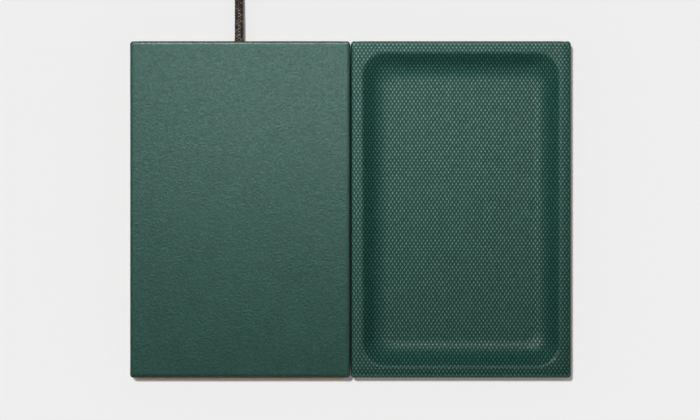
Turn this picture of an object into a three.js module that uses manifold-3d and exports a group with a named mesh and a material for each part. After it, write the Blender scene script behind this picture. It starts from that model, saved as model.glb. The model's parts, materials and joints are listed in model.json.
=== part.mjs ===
// Charging tray: two leather-wrapped modules that stand side by side, held together by magnets.
// The left module charges a device laid on it, and the right module is a shallow dish.
// Millimetres, +Z up, +Y to the rear where the cord leaves.
// The origin is on the table, midway between the modules.
import * as THREE from "three";
import { mergeVertices } from "three/addons/utils/BufferGeometryUtils.js";
import Module from "manifold-3d";

const wasm = await Module();
wasm.setup();

// Both modules
const moduleWidth = 109.4;
const moduleDepth = 167.4;
const moduleHeight = 16;
const seamGap = 0.5;
const cornerRadius = 2;
const edgeRadius = 1.4;
const leatherThickness = 1.2;
const bondGap = 0.2;
const fitGap = 0.3;
const leastCorner = 0.15;

// Base board and grip pad under each module
const gripPadThickness = 0.8;
const gripPadInset = 3;
const baseThickness = 2;
const chargerFrontLip = 0.9;
const trayFrontLip = 0.1;
const baseRearLip = 0.3;
const baseSideInset = 0.3;
const baseCornerRadius = 6;

// Dish of the tray module
const rimWidth = 5.1;
const dishLipRadius = 1.6;
const dishFloorRadius = 11;
const dishWallLean = 50;
const dishLipCorner = 11.5;
const dishFloorCorner = 6;
const coreFloor = 2;

// Housing of the charging module
const housingWall = 2;
const housingTop = 2;
const foamThickness = 0.8;
const foamInset = 2;

// Link magnets in the facing sides of the two modules
const magnetLength = 20;
const magnetHeight = 5;
const magnetThickness = 3;
const magnetSpacing = 110;
const cradleWall = 1.2;

// Countersunk base screws and their bosses
const screwHeadRadius = 3;
const screwHeadHeight = 1.5;
const screwShankRadius = 1.5;
const screwLength = 8;
const screwInset = 9;
const bossWall = 1.7;

// Small screws of the circuit board and the cord clamp
const smallHeadRadius = 1.9;
const smallHeadHeight = 1;
const smallShankRadius = 0.9;
const smallPostRadius = 2.3;
const boardScrewLength = 4;
const clampScrewLength = 6;

// Charging coil on its ferrite disc
const coilTurns = 10;
const coilInnerRadius = 10.3;
const coilWire = 0.72;
const coilGap = 0.46;
const coilLeadGap = 0.4;
const coilLeadOverlap = 1.2;
const ferriteMargin = 3;
const ferriteThickness = 1;
const carrierWall = 2;
const carrierFloor = 1;

// Circuit board and what is soldered under it
const boardWidth = 58;
const boardDepth = 22;
const boardThickness = 1.6;
const boardCorner = 2;
const boardHoleInset = 4;
const inductorSide = 9;
const inductorOffset = [-15, -2];
const chipThickness = 1.1;
const driverChipSide = 6;
const driverChipOffset = [0, -6];
const controlChipSide = 7;
const controlChipOffset = [11, -3];
const capacitorWidth = 5;
const capacitorDepth = 4;
const capacitorHeight = 2.4;
const capacitorSpacing = 6;
const capacitorOffset = [19.5, -2];

// Cord, its grommet, clamp and supply wires
const cordDiameter = 4.5;
const grommetWall = 0.7;
const grommetFlangeLip = 1;
const grommetFlangeThickness = 1.2;
const clampSetback = 8;
const clampDepth = 5;
const clampThickness = 3.2;
const clampPostSpacing = 13;
const clampEnd = 2.6;
const cordInnerTail = 4;
const wireDiameter = 1.2;
const wireRun = 6;
const wireGap = 0.6;
const wireSpread = 5;
const wireOverlap = 6;

// Put-away coil of the cord, and the strap that ties it
const cordCoilTurns = 7.25;
const cordCoilOuterRadius = 33;
const cordCoilGap = 0.45;
const cordClimbTurns = 0.5;
const tieThickness = 0.8;
const tieWidth = 10;
const tieCorner = 2;

// Plug on the cord's far end
const plugBodyLength = 24;
const plugBodyWidth = 15.5;
const plugBodyThickness = 8;
const plugBodyCorner = 2;
const plugReliefLength = 9;
const plugReliefWall = 0.7;
const plugReliefFlare = 0.7;
const plugShellLength = 12;
const plugShellWidth = 12;
const plugShellHeight = 4.5;
const plugShellWall = 0.4;
const plugShellCorner = 0.8;
const plugTongueLength = 9;
const plugTongueWidth = 10.4;
const plugTongueThickness = 1.8;

// How finely curves are cut into facets
const cornerSteps = 6;
const edgeSteps = 4;
const dishLipSteps = 4;
const dishFloorSteps = 7;
const roundSides = 16;
const loopSteps = 24;
const loopSides = 6;
const cordSides = 10;
const cordSteps = 16;
const wireSteps = 8;

// Heights and places that follow from the sizes above
const baseBottom = gripPadThickness + bondGap;
const baseTop = baseBottom + baseThickness;
const bodyBottom = baseTop + bondGap;
const skinGap = leatherThickness + bondGap;
const housingPlate = moduleHeight - skinGap - foamThickness - bondGap;
const plateUnder = housingPlate - housingTop;
const middleHeight = (bodyBottom + plateUnder) / 2;
const dishFloorHeight = bodyBottom + coreFloor + bondGap + leatherThickness;
const dishDepth = moduleHeight - dishFloorHeight;
const moduleOffset = (moduleWidth + seamGap) / 2;
const rearFace = moduleDepth / 2;
const cordRadius = cordDiameter / 2;
const bossRadius = screwShankRadius + fitGap + bossWall;
const pilotRadius = screwShankRadius + fitGap;
const smallPilotRadius = smallShankRadius + fitGap;

// Turns a closed geometry into a solid that can be joined and cut.
function solid(geometry) {
  const bare = geometry.clone();
  bare.deleteAttribute("normal");
  bare.deleteAttribute("uv");
  const merged = mergeVertices(bare);
  const mesh = new wasm.Mesh({
    numProp: 3,
    vertProperties: new Float32Array(merged.attributes.position.array),
    triVerts: new Uint32Array(merged.index.array),
  });
  return new wasm.Manifold(mesh);
}

// Turns a solid back into a geometry.
function geometryOf(body) {
  const mesh = body.getMesh();
  const geometry = new THREE.BufferGeometry();
  geometry.setAttribute("position", new THREE.BufferAttribute(mesh.vertProperties, 3));
  geometry.setIndex(new THREE.BufferAttribute(mesh.triVerts, 1));
  return geometry;
}

function joined(bodies) {
  return bodies.reduce((whole, body) => whole.add(body));
}

function cut(body, tools) {
  return tools.reduce((rest, tool) => rest.subtract(tool), body);
}

// A closed skin through rings of equal point counts that turn counter-clockwise about the way they advance.
function skin(rings) {
  const count = rings[0].length;
  const last = (rings.length - 1) * count;
  const index = [];
  for (let level = 0; level < last; level += count) {
    for (let i = 0; i < count; i++) {
      const a = level + i;
      const b = level + ((i + 1) % count);
      index.push(a, b, b + count, a, b + count, a + count);
    }
  }
  for (let i = 1; i + 1 < count; i++) {
    index.push(0, i + 1, i, last, last + i, last + i + 1);
  }
  const geometry = new THREE.BufferGeometry().setFromPoints(rings.flat());
  geometry.setIndex(index);
  return geometry;
}

// A rectangle with rounded corners, counter-clockwise, centred on the origin.
function roundedOutline(width, depth, radius) {
  const x = width / 2 - radius;
  const y = depth / 2 - radius;
  const centres = [
    [x, y],
    [-x, y],
    [-x, -y],
    [x, -y],
  ];
  return centres.flatMap(([cx, cy], quarter) =>
    Array.from({ length: cornerSteps + 1 }, (_, i) => {
      const angle = ((quarter + i / cornerSteps) * Math.PI) / 2;
      return new THREE.Vector2(cx + radius * Math.cos(angle), cy + radius * Math.sin(angle));
    }),
  );
}

function ringAt(outline, height) {
  return outline.map((point) => new THREE.Vector3(point.x, point.y, height));
}

// An upright prism over a rounded rectangle.
function slab(width, depth, radius, bottom, top) {
  const outline = roundedOutline(width, depth, radius);
  return skin([ringAt(outline, bottom), ringAt(outline, top)]);
}

// A slab whose top edge is a quarter round.
function roundedBlock(inset, bottom, top, edge) {
  const width = moduleWidth - 2 * inset;
  const depth = moduleDepth - 2 * inset;
  const radius = Math.max(cornerRadius - inset, leastCorner);
  const round = Math.max(edge - inset, 0);
  const rings = [ringAt(roundedOutline(width, depth, radius), bottom)];
  for (let i = 0; i <= (round > 0 ? edgeSteps : 0); i++) {
    const angle = (i / edgeSteps) * (Math.PI / 2);
    const draw = round * (1 - Math.cos(angle));
    const corner = Math.max(radius - draw, leastCorner);
    const outline = roundedOutline(width - 2 * draw, depth - 2 * draw, corner);
    rings.push(ringAt(outline, top - round + round * Math.sin(angle)));
  }
  return skin(rings);
}

// The dish wall in section, as the inset from the lip, the drop below it and the lean at each step.
// It goes in a round over the lip, a straight slope and a wide round into the flat floor.
function dishWall() {
  const lean = THREE.MathUtils.degToRad(dishWallLean);
  const rounds = dishLipRadius + dishFloorRadius;
  const slopeDrop = dishDepth - rounds * (1 - Math.cos(lean));
  const run = rounds * Math.sin(lean) + slopeDrop / Math.tan(lean);
  const steps = [];
  for (let i = 0; i <= dishLipSteps; i++) {
    const angle = (lean * i) / dishLipSteps;
    steps.push([dishLipRadius * Math.sin(angle), dishLipRadius * (1 - Math.cos(angle)), angle]);
  }
  for (let i = dishFloorSteps; i >= 0; i--) {
    const angle = (lean * i) / dishFloorSteps;
    const inset = run - dishFloorRadius * Math.sin(angle);
    steps.push([inset, dishDepth - dishFloorRadius * (1 - Math.cos(angle)), angle]);
  }
  return { steps, run };
}

// The hollow of the dish, grown outwards by a skin thickness.
function dishHollow(grow) {
  const { steps, run } = dishWall();
  const lipWidth = moduleWidth - 2 * rimWidth;
  const lipDepth = moduleDepth - 2 * rimWidth;
  const rings = steps.reverse().map(([inset, drop, angle]) => {
    const draw = inset - grow * Math.sin(angle);
    const height = moduleHeight - drop - grow * Math.cos(angle);
    const corner = THREE.MathUtils.lerp(dishLipCorner, dishFloorCorner, inset / run);
    const radius = corner + inset - draw;
    return ringAt(roundedOutline(lipWidth - 2 * draw, lipDepth - 2 * draw, radius), height);
  });
  const lip = roundedOutline(lipWidth, lipDepth, dishLipCorner);
  rings.push(ringAt(lip, moduleHeight + edgeRadius));
  return skin(rings);
}

function box(width, depth, height, x, y, z) {
  return new THREE.BoxGeometry(width, depth, height).translate(x, y, z);
}

// An upright cylinder from one height to another.
function post(radius, bottom, top, x, y) {
  const geometry = new THREE.CylinderGeometry(radius, radius, top - bottom, roundSides);
  return geometry.rotateX(Math.PI / 2).translate(x, y, (bottom + top) / 2);
}

// A cylinder along +Y from one place to another.
function rod(radius, start, end, x, z) {
  const geometry = new THREE.CylinderGeometry(radius, radius, end - start, roundSides);
  return geometry.translate(x, (start + end) / 2, z);
}

// A solid of revolution about an upright axis, from a profile of [radius, height] pairs.
function turned(profile, x, y) {
  const points = profile.map(([radius, height]) => new THREE.Vector2(radius, height));
  return new THREE.LatheGeometry(points, roundSides).rotateX(Math.PI / 2).translate(x, y, 0);
}

// A screw that points up: a countersunk or flat head, then the shank with a short point.
function screw(headRadius, headHeight, shankRadius, length, countersunk, x, y, bottom) {
  const headTop = bottom + headHeight;
  const profile = [
    [0, bottom],
    [headRadius, bottom],
    [countersunk ? shankRadius : headRadius, headTop],
    [shankRadius, headTop + (countersunk ? shankRadius / 2 : 0)],
    [shankRadius, bottom + length - shankRadius],
    [0, bottom + length],
  ];
  return turned(profile, x, y);
}

// The hole that a countersunk screw needs in the board that it holds.
function countersink(x, y) {
  const profile = [
    [0, baseBottom - bondGap],
    [screwHeadRadius + fitGap, baseBottom - bondGap],
    [screwHeadRadius + fitGap, baseBottom],
    [pilotRadius, baseBottom + screwHeadHeight],
    [pilotRadius, bodyBottom],
    [0, bodyBottom],
  ];
  return turned(profile, x, y);
}

// A tube with flat ends along a curve.
function tube(curve, diameter, sides, steps) {
  const section = new THREE.Shape();
  section.absarc(0, 0, diameter / 2, 0, 2 * Math.PI);
  const outline = new THREE.Shape(section.getSpacedPoints(sides).slice(0, sides));
  return new THREE.ExtrudeGeometry(outline, { steps, extrudePath: curve, bevelEnabled: false });
}

// A tube with flat ends along closely spaced points that stay near the horizontal.
function woundTube(points, diameter) {
  const up = new THREE.Vector3(0, 0, 1);
  const rings = points.map((point, i) => {
    const before = points[Math.max(i - 1, 0)];
    const after = points[Math.min(i + 1, points.length - 1)];
    const along = after.clone().sub(before).normalize();
    const side = up.clone().cross(along).normalize();
    const lift = along.clone().cross(side);
    return Array.from({ length: loopSides }, (_, k) => {
      const angle = (2 * Math.PI * k) / loopSides;
      const spoke = side.clone().multiplyScalar(Math.cos(angle) * (diameter / 2));
      return spoke.addScaledVector(lift, Math.sin(angle) * (diameter / 2)).add(point);
    });
  });
  return skin(rings);
}

// The least gap between turns of a wound tube, measured from point to point.
function leastGap(points, diameter) {
  let least = Infinity;
  points.forEach((a, i) => {
    points.slice(i + loopSteps / 2).forEach((b) => {
      least = Math.min(least, a.distanceTo(b) - diameter);
    });
  });
  return least;
}

// Four places at equal insets from a rectangle's corners.
function fourCorners(width, depth, inset, y = 0) {
  const dx = width / 2 - inset;
  const dy = depth / 2 - inset;
  return [
    [-dx, y - dy],
    [dx, y - dy],
    [dx, y + dy],
    [-dx, y + dy],
  ];
}

function addPiece(group, name, geometry, color, roughness, metalness = 0) {
  const material = new THREE.MeshStandardMaterial({ color, roughness, metalness });
  const mesh = new THREE.Mesh(geometry, material);
  mesh.name = name;
  group.add(mesh);
}

const green = "#34564d";
const tan = "#9a7552";
const steel = "#b9bcc0";
const blackPlastic = "#1d1f20";
const copper = "#b8733c";
const braid = "#2b211b";
const magnetRows = [
  ["front", -magnetSpacing / 2],
  ["rear", magnetSpacing / 2],
];
const cornerNames = ["front_left", "front_right", "rear_right", "rear_left"];
const screwPlaces = fourCorners(moduleWidth, moduleDepth, screwInset);

// Grip pad, base board and base screws of one module, whose board shows at the front by its own lip.
function addBase(group, prefix, frontLip) {
  const width = moduleWidth - 2 * baseSideInset;
  const depth = moduleDepth + frontLip + baseRearLip;
  const shift = (baseRearLip - frontLip) / 2;
  const padWidth = width - 2 * gripPadInset;
  const padDepth = depth - 2 * gripPadInset;
  const padCorner = Math.max(baseCornerRadius - gripPadInset, leastCorner);
  const pad = slab(padWidth, padDepth, padCorner, 0, gripPadThickness).translate(0, shift, 0);
  addPiece(group, `${prefix}_grip_pad`, pad, tan, 0.95);
  const board = solid(slab(width, depth, baseCornerRadius, baseBottom, baseTop).translate(0, shift, 0));
  const holes = screwPlaces.map(([x, y]) => solid(countersink(x, y)));
  addPiece(group, `${prefix}_base_board`, geometryOf(cut(board, holes)), tan, 0.8);
  screwPlaces.forEach(([x, y], i) => {
    const geometry = screw(
      screwHeadRadius,
      screwHeadHeight,
      screwShankRadius,
      screwLength,
      true,
      x,
      y,
      baseBottom,
    );
    addPiece(group, `${prefix}_base_screw_${cornerNames[i]}`, geometry, steel, 0.35, 1);
  });
}

function pilotHoles() {
  const top = baseBottom + screwLength + fitGap;
  return screwPlaces.map(([x, y]) => solid(post(pilotRadius, baseTop, top, x, y)));
}

const root = new THREE.Group();
const charger = new THREE.Group();
charger.position.x = -moduleOffset;
const tray = new THREE.Group();
tray.position.x = moduleOffset;
const cord = new THREE.Group();
cord.position.set(-moduleOffset, rearFace, 0);
root.add(charger, tray, cord);

// Places inside the charging module
const housingInset = skinGap + housingWall;
const innerRear = rearFace - housingInset;
const innerSide = moduleWidth / 2 - housingInset;
const coilPitch = coilWire + coilGap;
const coilOuterRadius = coilInnerRadius + coilTurns * coilPitch;
const ferriteRadius = coilOuterRadius + coilWire / 2 + ferriteMargin;
const carrierRadius = ferriteRadius + fitGap + carrierWall;
const carrierTop = plateUnder - bondGap;
const leadHeight = carrierTop - coilWire / 2;
const coilHeight = leadHeight - coilWire - coilLeadGap;
const ferriteTop = coilHeight - coilWire / 2 - bondGap;
const ferriteBottom = ferriteTop - ferriteThickness;
const pocketFloor = ferriteBottom - bondGap;
const boardTop = coilHeight - coilWire / 2 - fitGap;
const boardBottom = boardTop - boardThickness;
const clampY = innerRear - clampSetback;
const cordInnerFront = clampY - clampDepth / 2 - cordInnerTail;
const boardRear = cordInnerFront - wireRun;
const boardFront = boardRear - boardDepth;
const boardY = (boardFront + boardRear) / 2;
const boardPlaces = fourCorners(boardWidth, boardDepth, boardHoleInset, boardY);
const clampTop = middleHeight - bondGap;
const clampBottom = clampTop - clampThickness;
const clampPlaces = [
  ["left", -clampPostSpacing / 2],
  ["right", clampPostSpacing / 2],
];
const grommetBore = cordRadius + fitGap;
const grommetNeck = grommetBore + grommetWall;
const leadEnd = boardFront + coilLeadOverlap;

// Smooth leather cover over the top and all four sides, with a hole for the grommet.
function leatherCover() {
  const outside = solid(roundedBlock(0, bodyBottom, moduleHeight, edgeRadius));
  const top = moduleHeight - leatherThickness;
  const inside = solid(roundedBlock(leatherThickness, baseTop, top, edgeRadius));
  const hole = solid(rod(grommetNeck + fitGap, innerRear, rearFace + fitGap, 0, middleHeight));
  return geometryOf(cut(outside, [inside, hole]));
}

// Moulded housing: an open-bottomed tub with bosses, posts, magnet cradles and a saddle above the cord.
function housing() {
  const outside = solid(roundedBlock(skinGap, bodyBottom, housingPlate, 0));
  const inside = solid(roundedBlock(housingInset, baseTop, plateUnder, 0));
  const postTop = plateUnder + housingTop / 2;
  const bosses = screwPlaces.map(([x, y]) => solid(post(bossRadius, bodyBottom, postTop, x, y)));
  const boardPosts = boardPlaces.map(([x, y]) =>
    solid(post(smallPostRadius, boardTop + bondGap, postTop, x, y)),
  );
  const clampPosts = clampPlaces.map(([, x]) =>
    solid(post(smallPostRadius, clampTop + bondGap, postTop, x, clampY)),
  );
  const saddleBottom = middleHeight + cordRadius + fitGap;
  const saddleHeight = postTop - saddleBottom;
  const saddle = solid(
    box(cordDiameter, clampDepth, saddleHeight, 0, clampY, saddleBottom + saddleHeight / 2),
  );
  const cradles = magnetRows.map(([, y]) => magnetCradle(y).intersect(outside));
  const tub = joined([cut(outside, [inside]), ...bosses, ...boardPosts, ...clampPosts, saddle, ...cradles]);
  const boardPilotTop = boardBottom - bondGap - smallHeadHeight + boardScrewLength + fitGap;
  const boardPilots = boardPlaces.map(([x, y]) =>
    solid(post(smallPilotRadius, boardTop, boardPilotTop, x, y)),
  );
  const clampPilots = clampPlaces.map(([, x]) =>
    solid(post(smallPilotRadius, clampTop, clampBottom + clampScrewLength + fitGap, x, clampY)),
  );
  const hole = solid(rod(grommetNeck + fitGap, clampY, rearFace, 0, middleHeight));
  return geometryOf(cut(tub, [...pilotHoles(), ...boardPilots, ...clampPilots, hole]));
}

// A frame on the housing's inner side wall that a magnet is pushed into.
function magnetCradle(y) {
  const rim = fitGap + cradleWall;
  const depth = magnetThickness + bondGap;
  const x = innerSide - depth / 2;
  const rootDepth = housingWall / 2;
  const frame = box(
    depth + rootDepth,
    magnetLength + 2 * rim,
    magnetHeight + 2 * rim,
    x + rootDepth / 2,
    y,
    middleHeight,
  );
  const pocket = box(
    2 * depth,
    magnetLength + 2 * fitGap,
    magnetHeight + 2 * fitGap,
    innerSide - depth,
    y,
    middleHeight,
  );
  return cut(solid(frame), [solid(pocket)]);
}

// Foam sheet between the housing and the leather.
function foamPad() {
  const inset = skinGap + foamInset;
  const bottom = housingPlate + bondGap;
  const width = moduleWidth - 2 * inset;
  const depth = moduleDepth - 2 * inset;
  return slab(width, depth, cornerRadius, bottom, bottom + foamThickness);
}

// Round carrier with a pocket for ferrite and coil, and two notches in its rim for the coil's leads.
function coilCarrier() {
  const body = solid(post(carrierRadius, pocketFloor - carrierFloor, carrierTop, 0, 0));
  const pocket = solid(post(ferriteRadius + fitGap, pocketFloor, plateUnder, 0, 0));
  const notchWidth = coilWire + 2 * fitGap;
  const notchBottom = coilHeight - coilWire / 2 - fitGap;
  const notchHeight = plateUnder - notchBottom;
  const notches = [coilInnerRadius, coilOuterRadius].map((x) =>
    solid(box(notchWidth, boardFront, notchHeight, x, boardFront / 2, notchBottom + notchHeight / 2)),
  );
  return geometryOf(cut(body, [pocket, ...notches]));
}

// Flat spiral of the charging coil, from its inner end outwards, with a straight run at each end.
function chargingCoilPath() {
  const steps = coilTurns * loopSteps;
  const spiral = Array.from({ length: steps + 1 }, (_, i) => {
    const turns = i / loopSteps;
    const radius = coilInnerRadius + turns * coilPitch;
    const angle = 2 * Math.PI * turns;
    return new THREE.Vector3(radius * Math.cos(angle), radius * Math.sin(angle), coilHeight);
  });
  const run = new THREE.Vector3(0, coilWire, 0);
  return [spiral[0].clone().sub(run), ...spiral, spiral[steps].clone().add(run)];
}

function straightTube(start, end, diameter) {
  return tube(new THREE.LineCurve3(start, end), diameter, loopSides, 1);
}

function circuitBoard() {
  const plate = slab(boardWidth, boardDepth, boardCorner, boardBottom, boardTop).translate(0, boardY, 0);
  const holes = boardPlaces.map(([x, y]) =>
    solid(post(smallPilotRadius, boardBottom - fitGap, boardTop + fitGap, x, y)),
  );
  return geometryOf(cut(solid(plate), holes));
}

// A chip, inductor or capacitor that hangs under the board.
function component(width, depth, height, [dx, dy]) {
  const top = boardBottom - bondGap;
  return box(width, depth, height, dx, boardY + dy, top - height / 2);
}

// Rubber bush through the rear wall, flush with the leather outside.
// Its flange inside has two flats.
function grommet() {
  const flange = grommetNeck + fitGap + grommetFlangeLip;
  const flangeRear = innerRear - bondGap;
  const profile = [
    [grommetBore, flangeRear - grommetFlangeThickness],
    [flange, flangeRear - grommetFlangeThickness],
    [flange, flangeRear],
    [grommetNeck, flangeRear],
    [grommetNeck, rearFace],
    [grommetBore, rearFace],
    [grommetBore, flangeRear - grommetFlangeThickness],
  ];
  const points = profile.map(([radius, y]) => new THREE.Vector2(radius, y));
  const bush = new THREE.LatheGeometry(points, roundSides).translate(0, 0, middleHeight);
  const room = plateUnder - bodyBottom - 2 * fitGap;
  const flats = box(2 * (flange + fitGap), moduleDepth, room, 0, moduleDepth / 2, middleHeight);
  return geometryOf(solid(bush).intersect(solid(flats)));
}

// Clamp bar under the cord, with a round groove and two screw holes.
function cordClamp() {
  const width = clampPostSpacing + 2 * (smallPilotRadius + clampEnd);
  const bar = box(width, clampDepth, clampThickness, 0, clampY, clampBottom + clampThickness / 2);
  const groove = rod(grommetBore, clampY - clampDepth, clampY + clampDepth, 0, middleHeight);
  const recess = clampBottom + smallHeadHeight + fitGap;
  const holes = clampPlaces.flatMap(([, x]) => [
    solid(post(smallPilotRadius, baseTop, clampTop + fitGap, x, clampY)),
    solid(post(smallHeadRadius + fitGap, baseTop, recess, x, clampY)),
  ]);
  return geometryOf(cut(solid(bar), [solid(groove), ...holes]));
}

// A supply wire from the cord's inner end to a pad under the board.
function supplyWire(side) {
  const start = cordInnerFront - fitGap;
  const end = boardRear - wireOverlap;
  const height = boardBottom - fitGap - wireDiameter / 2;
  const near = (side * (wireDiameter + wireGap)) / 2;
  const route = new THREE.CubicBezierCurve3(
    new THREE.Vector3(near, start, middleHeight),
    new THREE.Vector3(near, (start + end) / 2, middleHeight),
    new THREE.Vector3(side * wireSpread, (start + end) / 2, height),
    new THREE.Vector3(side * wireSpread, end, height),
  );
  return tube(route, wireDiameter, loopSides, wireSteps);
}

addBase(charger, "charger", chargerFrontLip);
addPiece(charger, "charger_leather_cover", leatherCover(), green, 0.55);
addPiece(charger, "charger_foam_pad", foamPad(), "#3a3a3a", 0.95);
addPiece(charger, "charger_housing", housing(), blackPlastic, 0.6);
magnetRows.forEach(([row, y]) => {
  const x = innerSide - bondGap - magnetThickness / 2;
  const magnet = box(magnetThickness, magnetLength, magnetHeight, x, y, middleHeight);
  addPiece(charger, `charger_magnet_${row}`, magnet, steel, 0.25, 1);
});

const coilPath = chargingCoilPath();
const innerLeadStart = new THREE.Vector3(coilInnerRadius, -coilWire, leadHeight);
const innerLeadEnd = new THREE.Vector3(coilInnerRadius, leadEnd, leadHeight);
const outerLeadStart = new THREE.Vector3(coilOuterRadius, coilWire + fitGap, coilHeight);
const outerLeadEnd = new THREE.Vector3(coilOuterRadius, leadEnd, coilHeight);
addPiece(charger, "coil_carrier", coilCarrier(), "#e6e4dc", 0.6);
addPiece(charger, "ferrite_disc", post(ferriteRadius, ferriteBottom, ferriteTop, 0, 0), "#3b3b3e", 0.7);
addPiece(charger, "charging_coil", woundTube(coilPath, coilWire), copper, 0.4, 1);
addPiece(charger, "coil_lead_inner", straightTube(innerLeadStart, innerLeadEnd, coilWire), copper, 0.4, 1);
addPiece(charger, "coil_lead_outer", straightTube(outerLeadStart, outerLeadEnd, coilWire), copper, 0.4, 1);
console.log("charging_coil least gap", leastGap(coilPath, coilWire).toFixed(2), "mm");

const inductorHeight = boardBottom - bondGap - bodyBottom;
const inductor = component(inductorSide, inductorSide, inductorHeight, inductorOffset);
const driverChip = component(driverChipSide, driverChipSide, chipThickness, driverChipOffset);
const controlChip = component(controlChipSide, controlChipSide, chipThickness, controlChipOffset);
addPiece(charger, "circuit_board", circuitBoard(), "#1f5a3a", 0.5);
addPiece(charger, "power_inductor", inductor, "#4a4a4d", 0.7);
addPiece(charger, "driver_chip", driverChip, "#161616", 0.5);
addPiece(charger, "control_chip", controlChip, "#161616", 0.5);
["front", "rear"].forEach((row, i) => {
  const [dx, dy] = capacitorOffset;
  const offset = [dx, dy + (i - 0.5) * capacitorSpacing];
  const capacitor = component(capacitorWidth, capacitorDepth, capacitorHeight, offset);
  addPiece(charger, `resonance_capacitor_${row}`, capacitor, "#8d7658", 0.5);
});
boardPlaces.forEach(([x, y], i) => {
  const bottom = boardBottom - bondGap - smallHeadHeight;
  const geometry = screw(
    smallHeadRadius,
    smallHeadHeight,
    smallShankRadius,
    boardScrewLength,
    false,
    x,
    y,
    bottom,
  );
  addPiece(charger, `board_screw_${cornerNames[i]}`, geometry, steel, 0.35, 1);
});

const cordInnerStart = new THREE.Vector3(0, cordInnerFront, middleHeight);
const cordInnerEnd = new THREE.Vector3(0, rearFace, middleHeight);
const cordInnerCurve = new THREE.LineCurve3(cordInnerStart, cordInnerEnd);
addPiece(charger, "cable_grommet", grommet(), blackPlastic, 0.85);
addPiece(charger, "cord_inner_end", tube(cordInnerCurve, cordDiameter, cordSides, 1), braid, 0.9);
addPiece(charger, "cord_clamp", cordClamp(), blackPlastic, 0.6);
clampPlaces.forEach(([side, x]) => {
  const geometry = screw(
    smallHeadRadius,
    smallHeadHeight,
    smallShankRadius,
    clampScrewLength,
    false,
    x,
    clampY,
    clampBottom,
  );
  addPiece(charger, `clamp_screw_${side}`, geometry, steel, 0.35, 1);
});
addPiece(charger, "supply_wire_positive", supplyWire(1), "#a5221f", 0.6);
addPiece(charger, "supply_wire_negative", supplyWire(-1), "#151515", 0.6);

// Core of the tray module: a block with the dish and the magnet pockets sunk into it.
function trayCore() {
  const block = solid(roundedBlock(skinGap, bodyBottom, moduleHeight - skinGap, edgeRadius));
  const side = moduleWidth / 2 - skinGap;
  const pockets = magnetRows.map(([, y]) => {
    const depth = magnetThickness + fitGap;
    const length = magnetLength + 2 * fitGap;
    const height = magnetHeight + 2 * fitGap;
    return solid(box(2 * depth, length, height, -side, y, middleHeight));
  });
  return geometryOf(cut(block, [solid(dishHollow(skinGap)), ...pockets, ...pilotHoles()]));
}

// Embossed leather in one moulded sheet: down the outer sides, over the rim and through the dish.
function trayLiner() {
  const outside = solid(roundedBlock(0, bodyBottom, moduleHeight, edgeRadius));
  const top = moduleHeight - leatherThickness;
  const inside = solid(roundedBlock(leatherThickness, baseTop, top, edgeRadius));
  const backing = cut(inside, [solid(dishHollow(leatherThickness))]);
  return geometryOf(cut(outside, [solid(dishHollow(0)), backing]));
}

addBase(tray, "tray", trayFrontLip);
addPiece(tray, "tray_core", trayCore(), "#6e5f4e", 0.8);
addPiece(tray, "tray_leather_liner", trayLiner(), green, 0.6);
magnetRows.forEach(([row, y]) => {
  const x = skinGap + magnetThickness / 2 - moduleWidth / 2;
  const magnet = box(magnetThickness, magnetLength, magnetHeight, x, y, middleHeight);
  addPiece(tray, `tray_magnet_${row}`, magnet, steel, 0.25, 1);
});

// The cord's route behind the charging module, from the grommet's outer face at [0, 0].
const cordRest = tieThickness + fitGap + cordRadius;
const leadRoute = [
  [0, fitGap, middleHeight],
  [0, 4, middleHeight],
  [0, 8, 7.1],
  [0, 12, 6.7],
  [0, 16, 6.1],
  [0, 20, 5.4],
  [0, 24, 4.6],
  [0, 28, 3.9],
  [0, 32, 3.3],
  [0, 36, 2.9],
  [0, 40, 2.65],
  [0, 44, 2.6],
  [0, 49, 2.8],
  [0, 53, 3.2],
  [0, 58, cordRest],
];
const leadEndPoint = new THREE.Vector3(...leadRoute[leadRoute.length - 1]);
const coilStart = leadEndPoint.clone().add(new THREE.Vector3(0, fitGap, 0));

// The put-away coil winds clockwise: inwards on the table, up one layer, and outwards again on top.
function cordCoilPath() {
  const perLayer = cordCoilTurns / 2;
  const pitch = cordDiameter + cordCoilGap;
  const innerRadius = cordCoilOuterRadius - pitch * perLayer;
  const centre = coilStart.clone().add(new THREE.Vector3(cordCoilOuterRadius, cordDiameter, 0));
  const steps = cordCoilTurns * loopSteps;
  const spiral = Array.from({ length: steps + 1 }, (_, i) => {
    const turns = i / loopSteps;
    const radius = innerRadius + pitch * Math.abs(perLayer - turns);
    const climbed = (turns - perLayer) / cordClimbTurns + 0.5;
    const climb = THREE.MathUtils.smoothstep(climbed, 0, 1);
    const angle = Math.PI - 2 * Math.PI * turns;
    const reach = new THREE.Vector3(Math.cos(angle), Math.sin(angle), 0).multiplyScalar(radius);
    return reach.add(centre).setZ(cordRest + pitch * climb);
  });
  const end = spiral[steps].clone().add(new THREE.Vector3(cordDiameter, 0, 0));
  return [coilStart.clone(), ...spiral, end];
}

function smoothTube(route) {
  const points = route.map(([x, y, z]) => new THREE.Vector3(x, y, z));
  return tube(new THREE.CatmullRomCurve3(points), cordDiameter, cordSides, cordSteps);
}

const coilPoints = cordCoilPath();
const coilEnd = coilPoints[coilPoints.length - 1];
const plugHeight = plugBodyThickness / 2;
const tailRoute = [
  [fitGap, 0, coilEnd.z],
  [4, 0, coilEnd.z],
  [8, 0, 8.0],
  [12, 0, 7.2],
  [16, 0, 5.9],
  [20, 0, 4.6],
  [24, 0, 3.5],
  [28, 0, 2.9],
  [32, 0, 2.75],
  [36, 0, 3.1],
  [40, 0, 3.6],
  [44, 0, 3.95],
  [48, 0, plugHeight],
  [52, 0, plugHeight],
].map(([x, y, z]) => [coilEnd.x + x, coilEnd.y + y, z]);
const tailEnd = new THREE.Vector3(...tailRoute[tailRoute.length - 1]);

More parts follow.
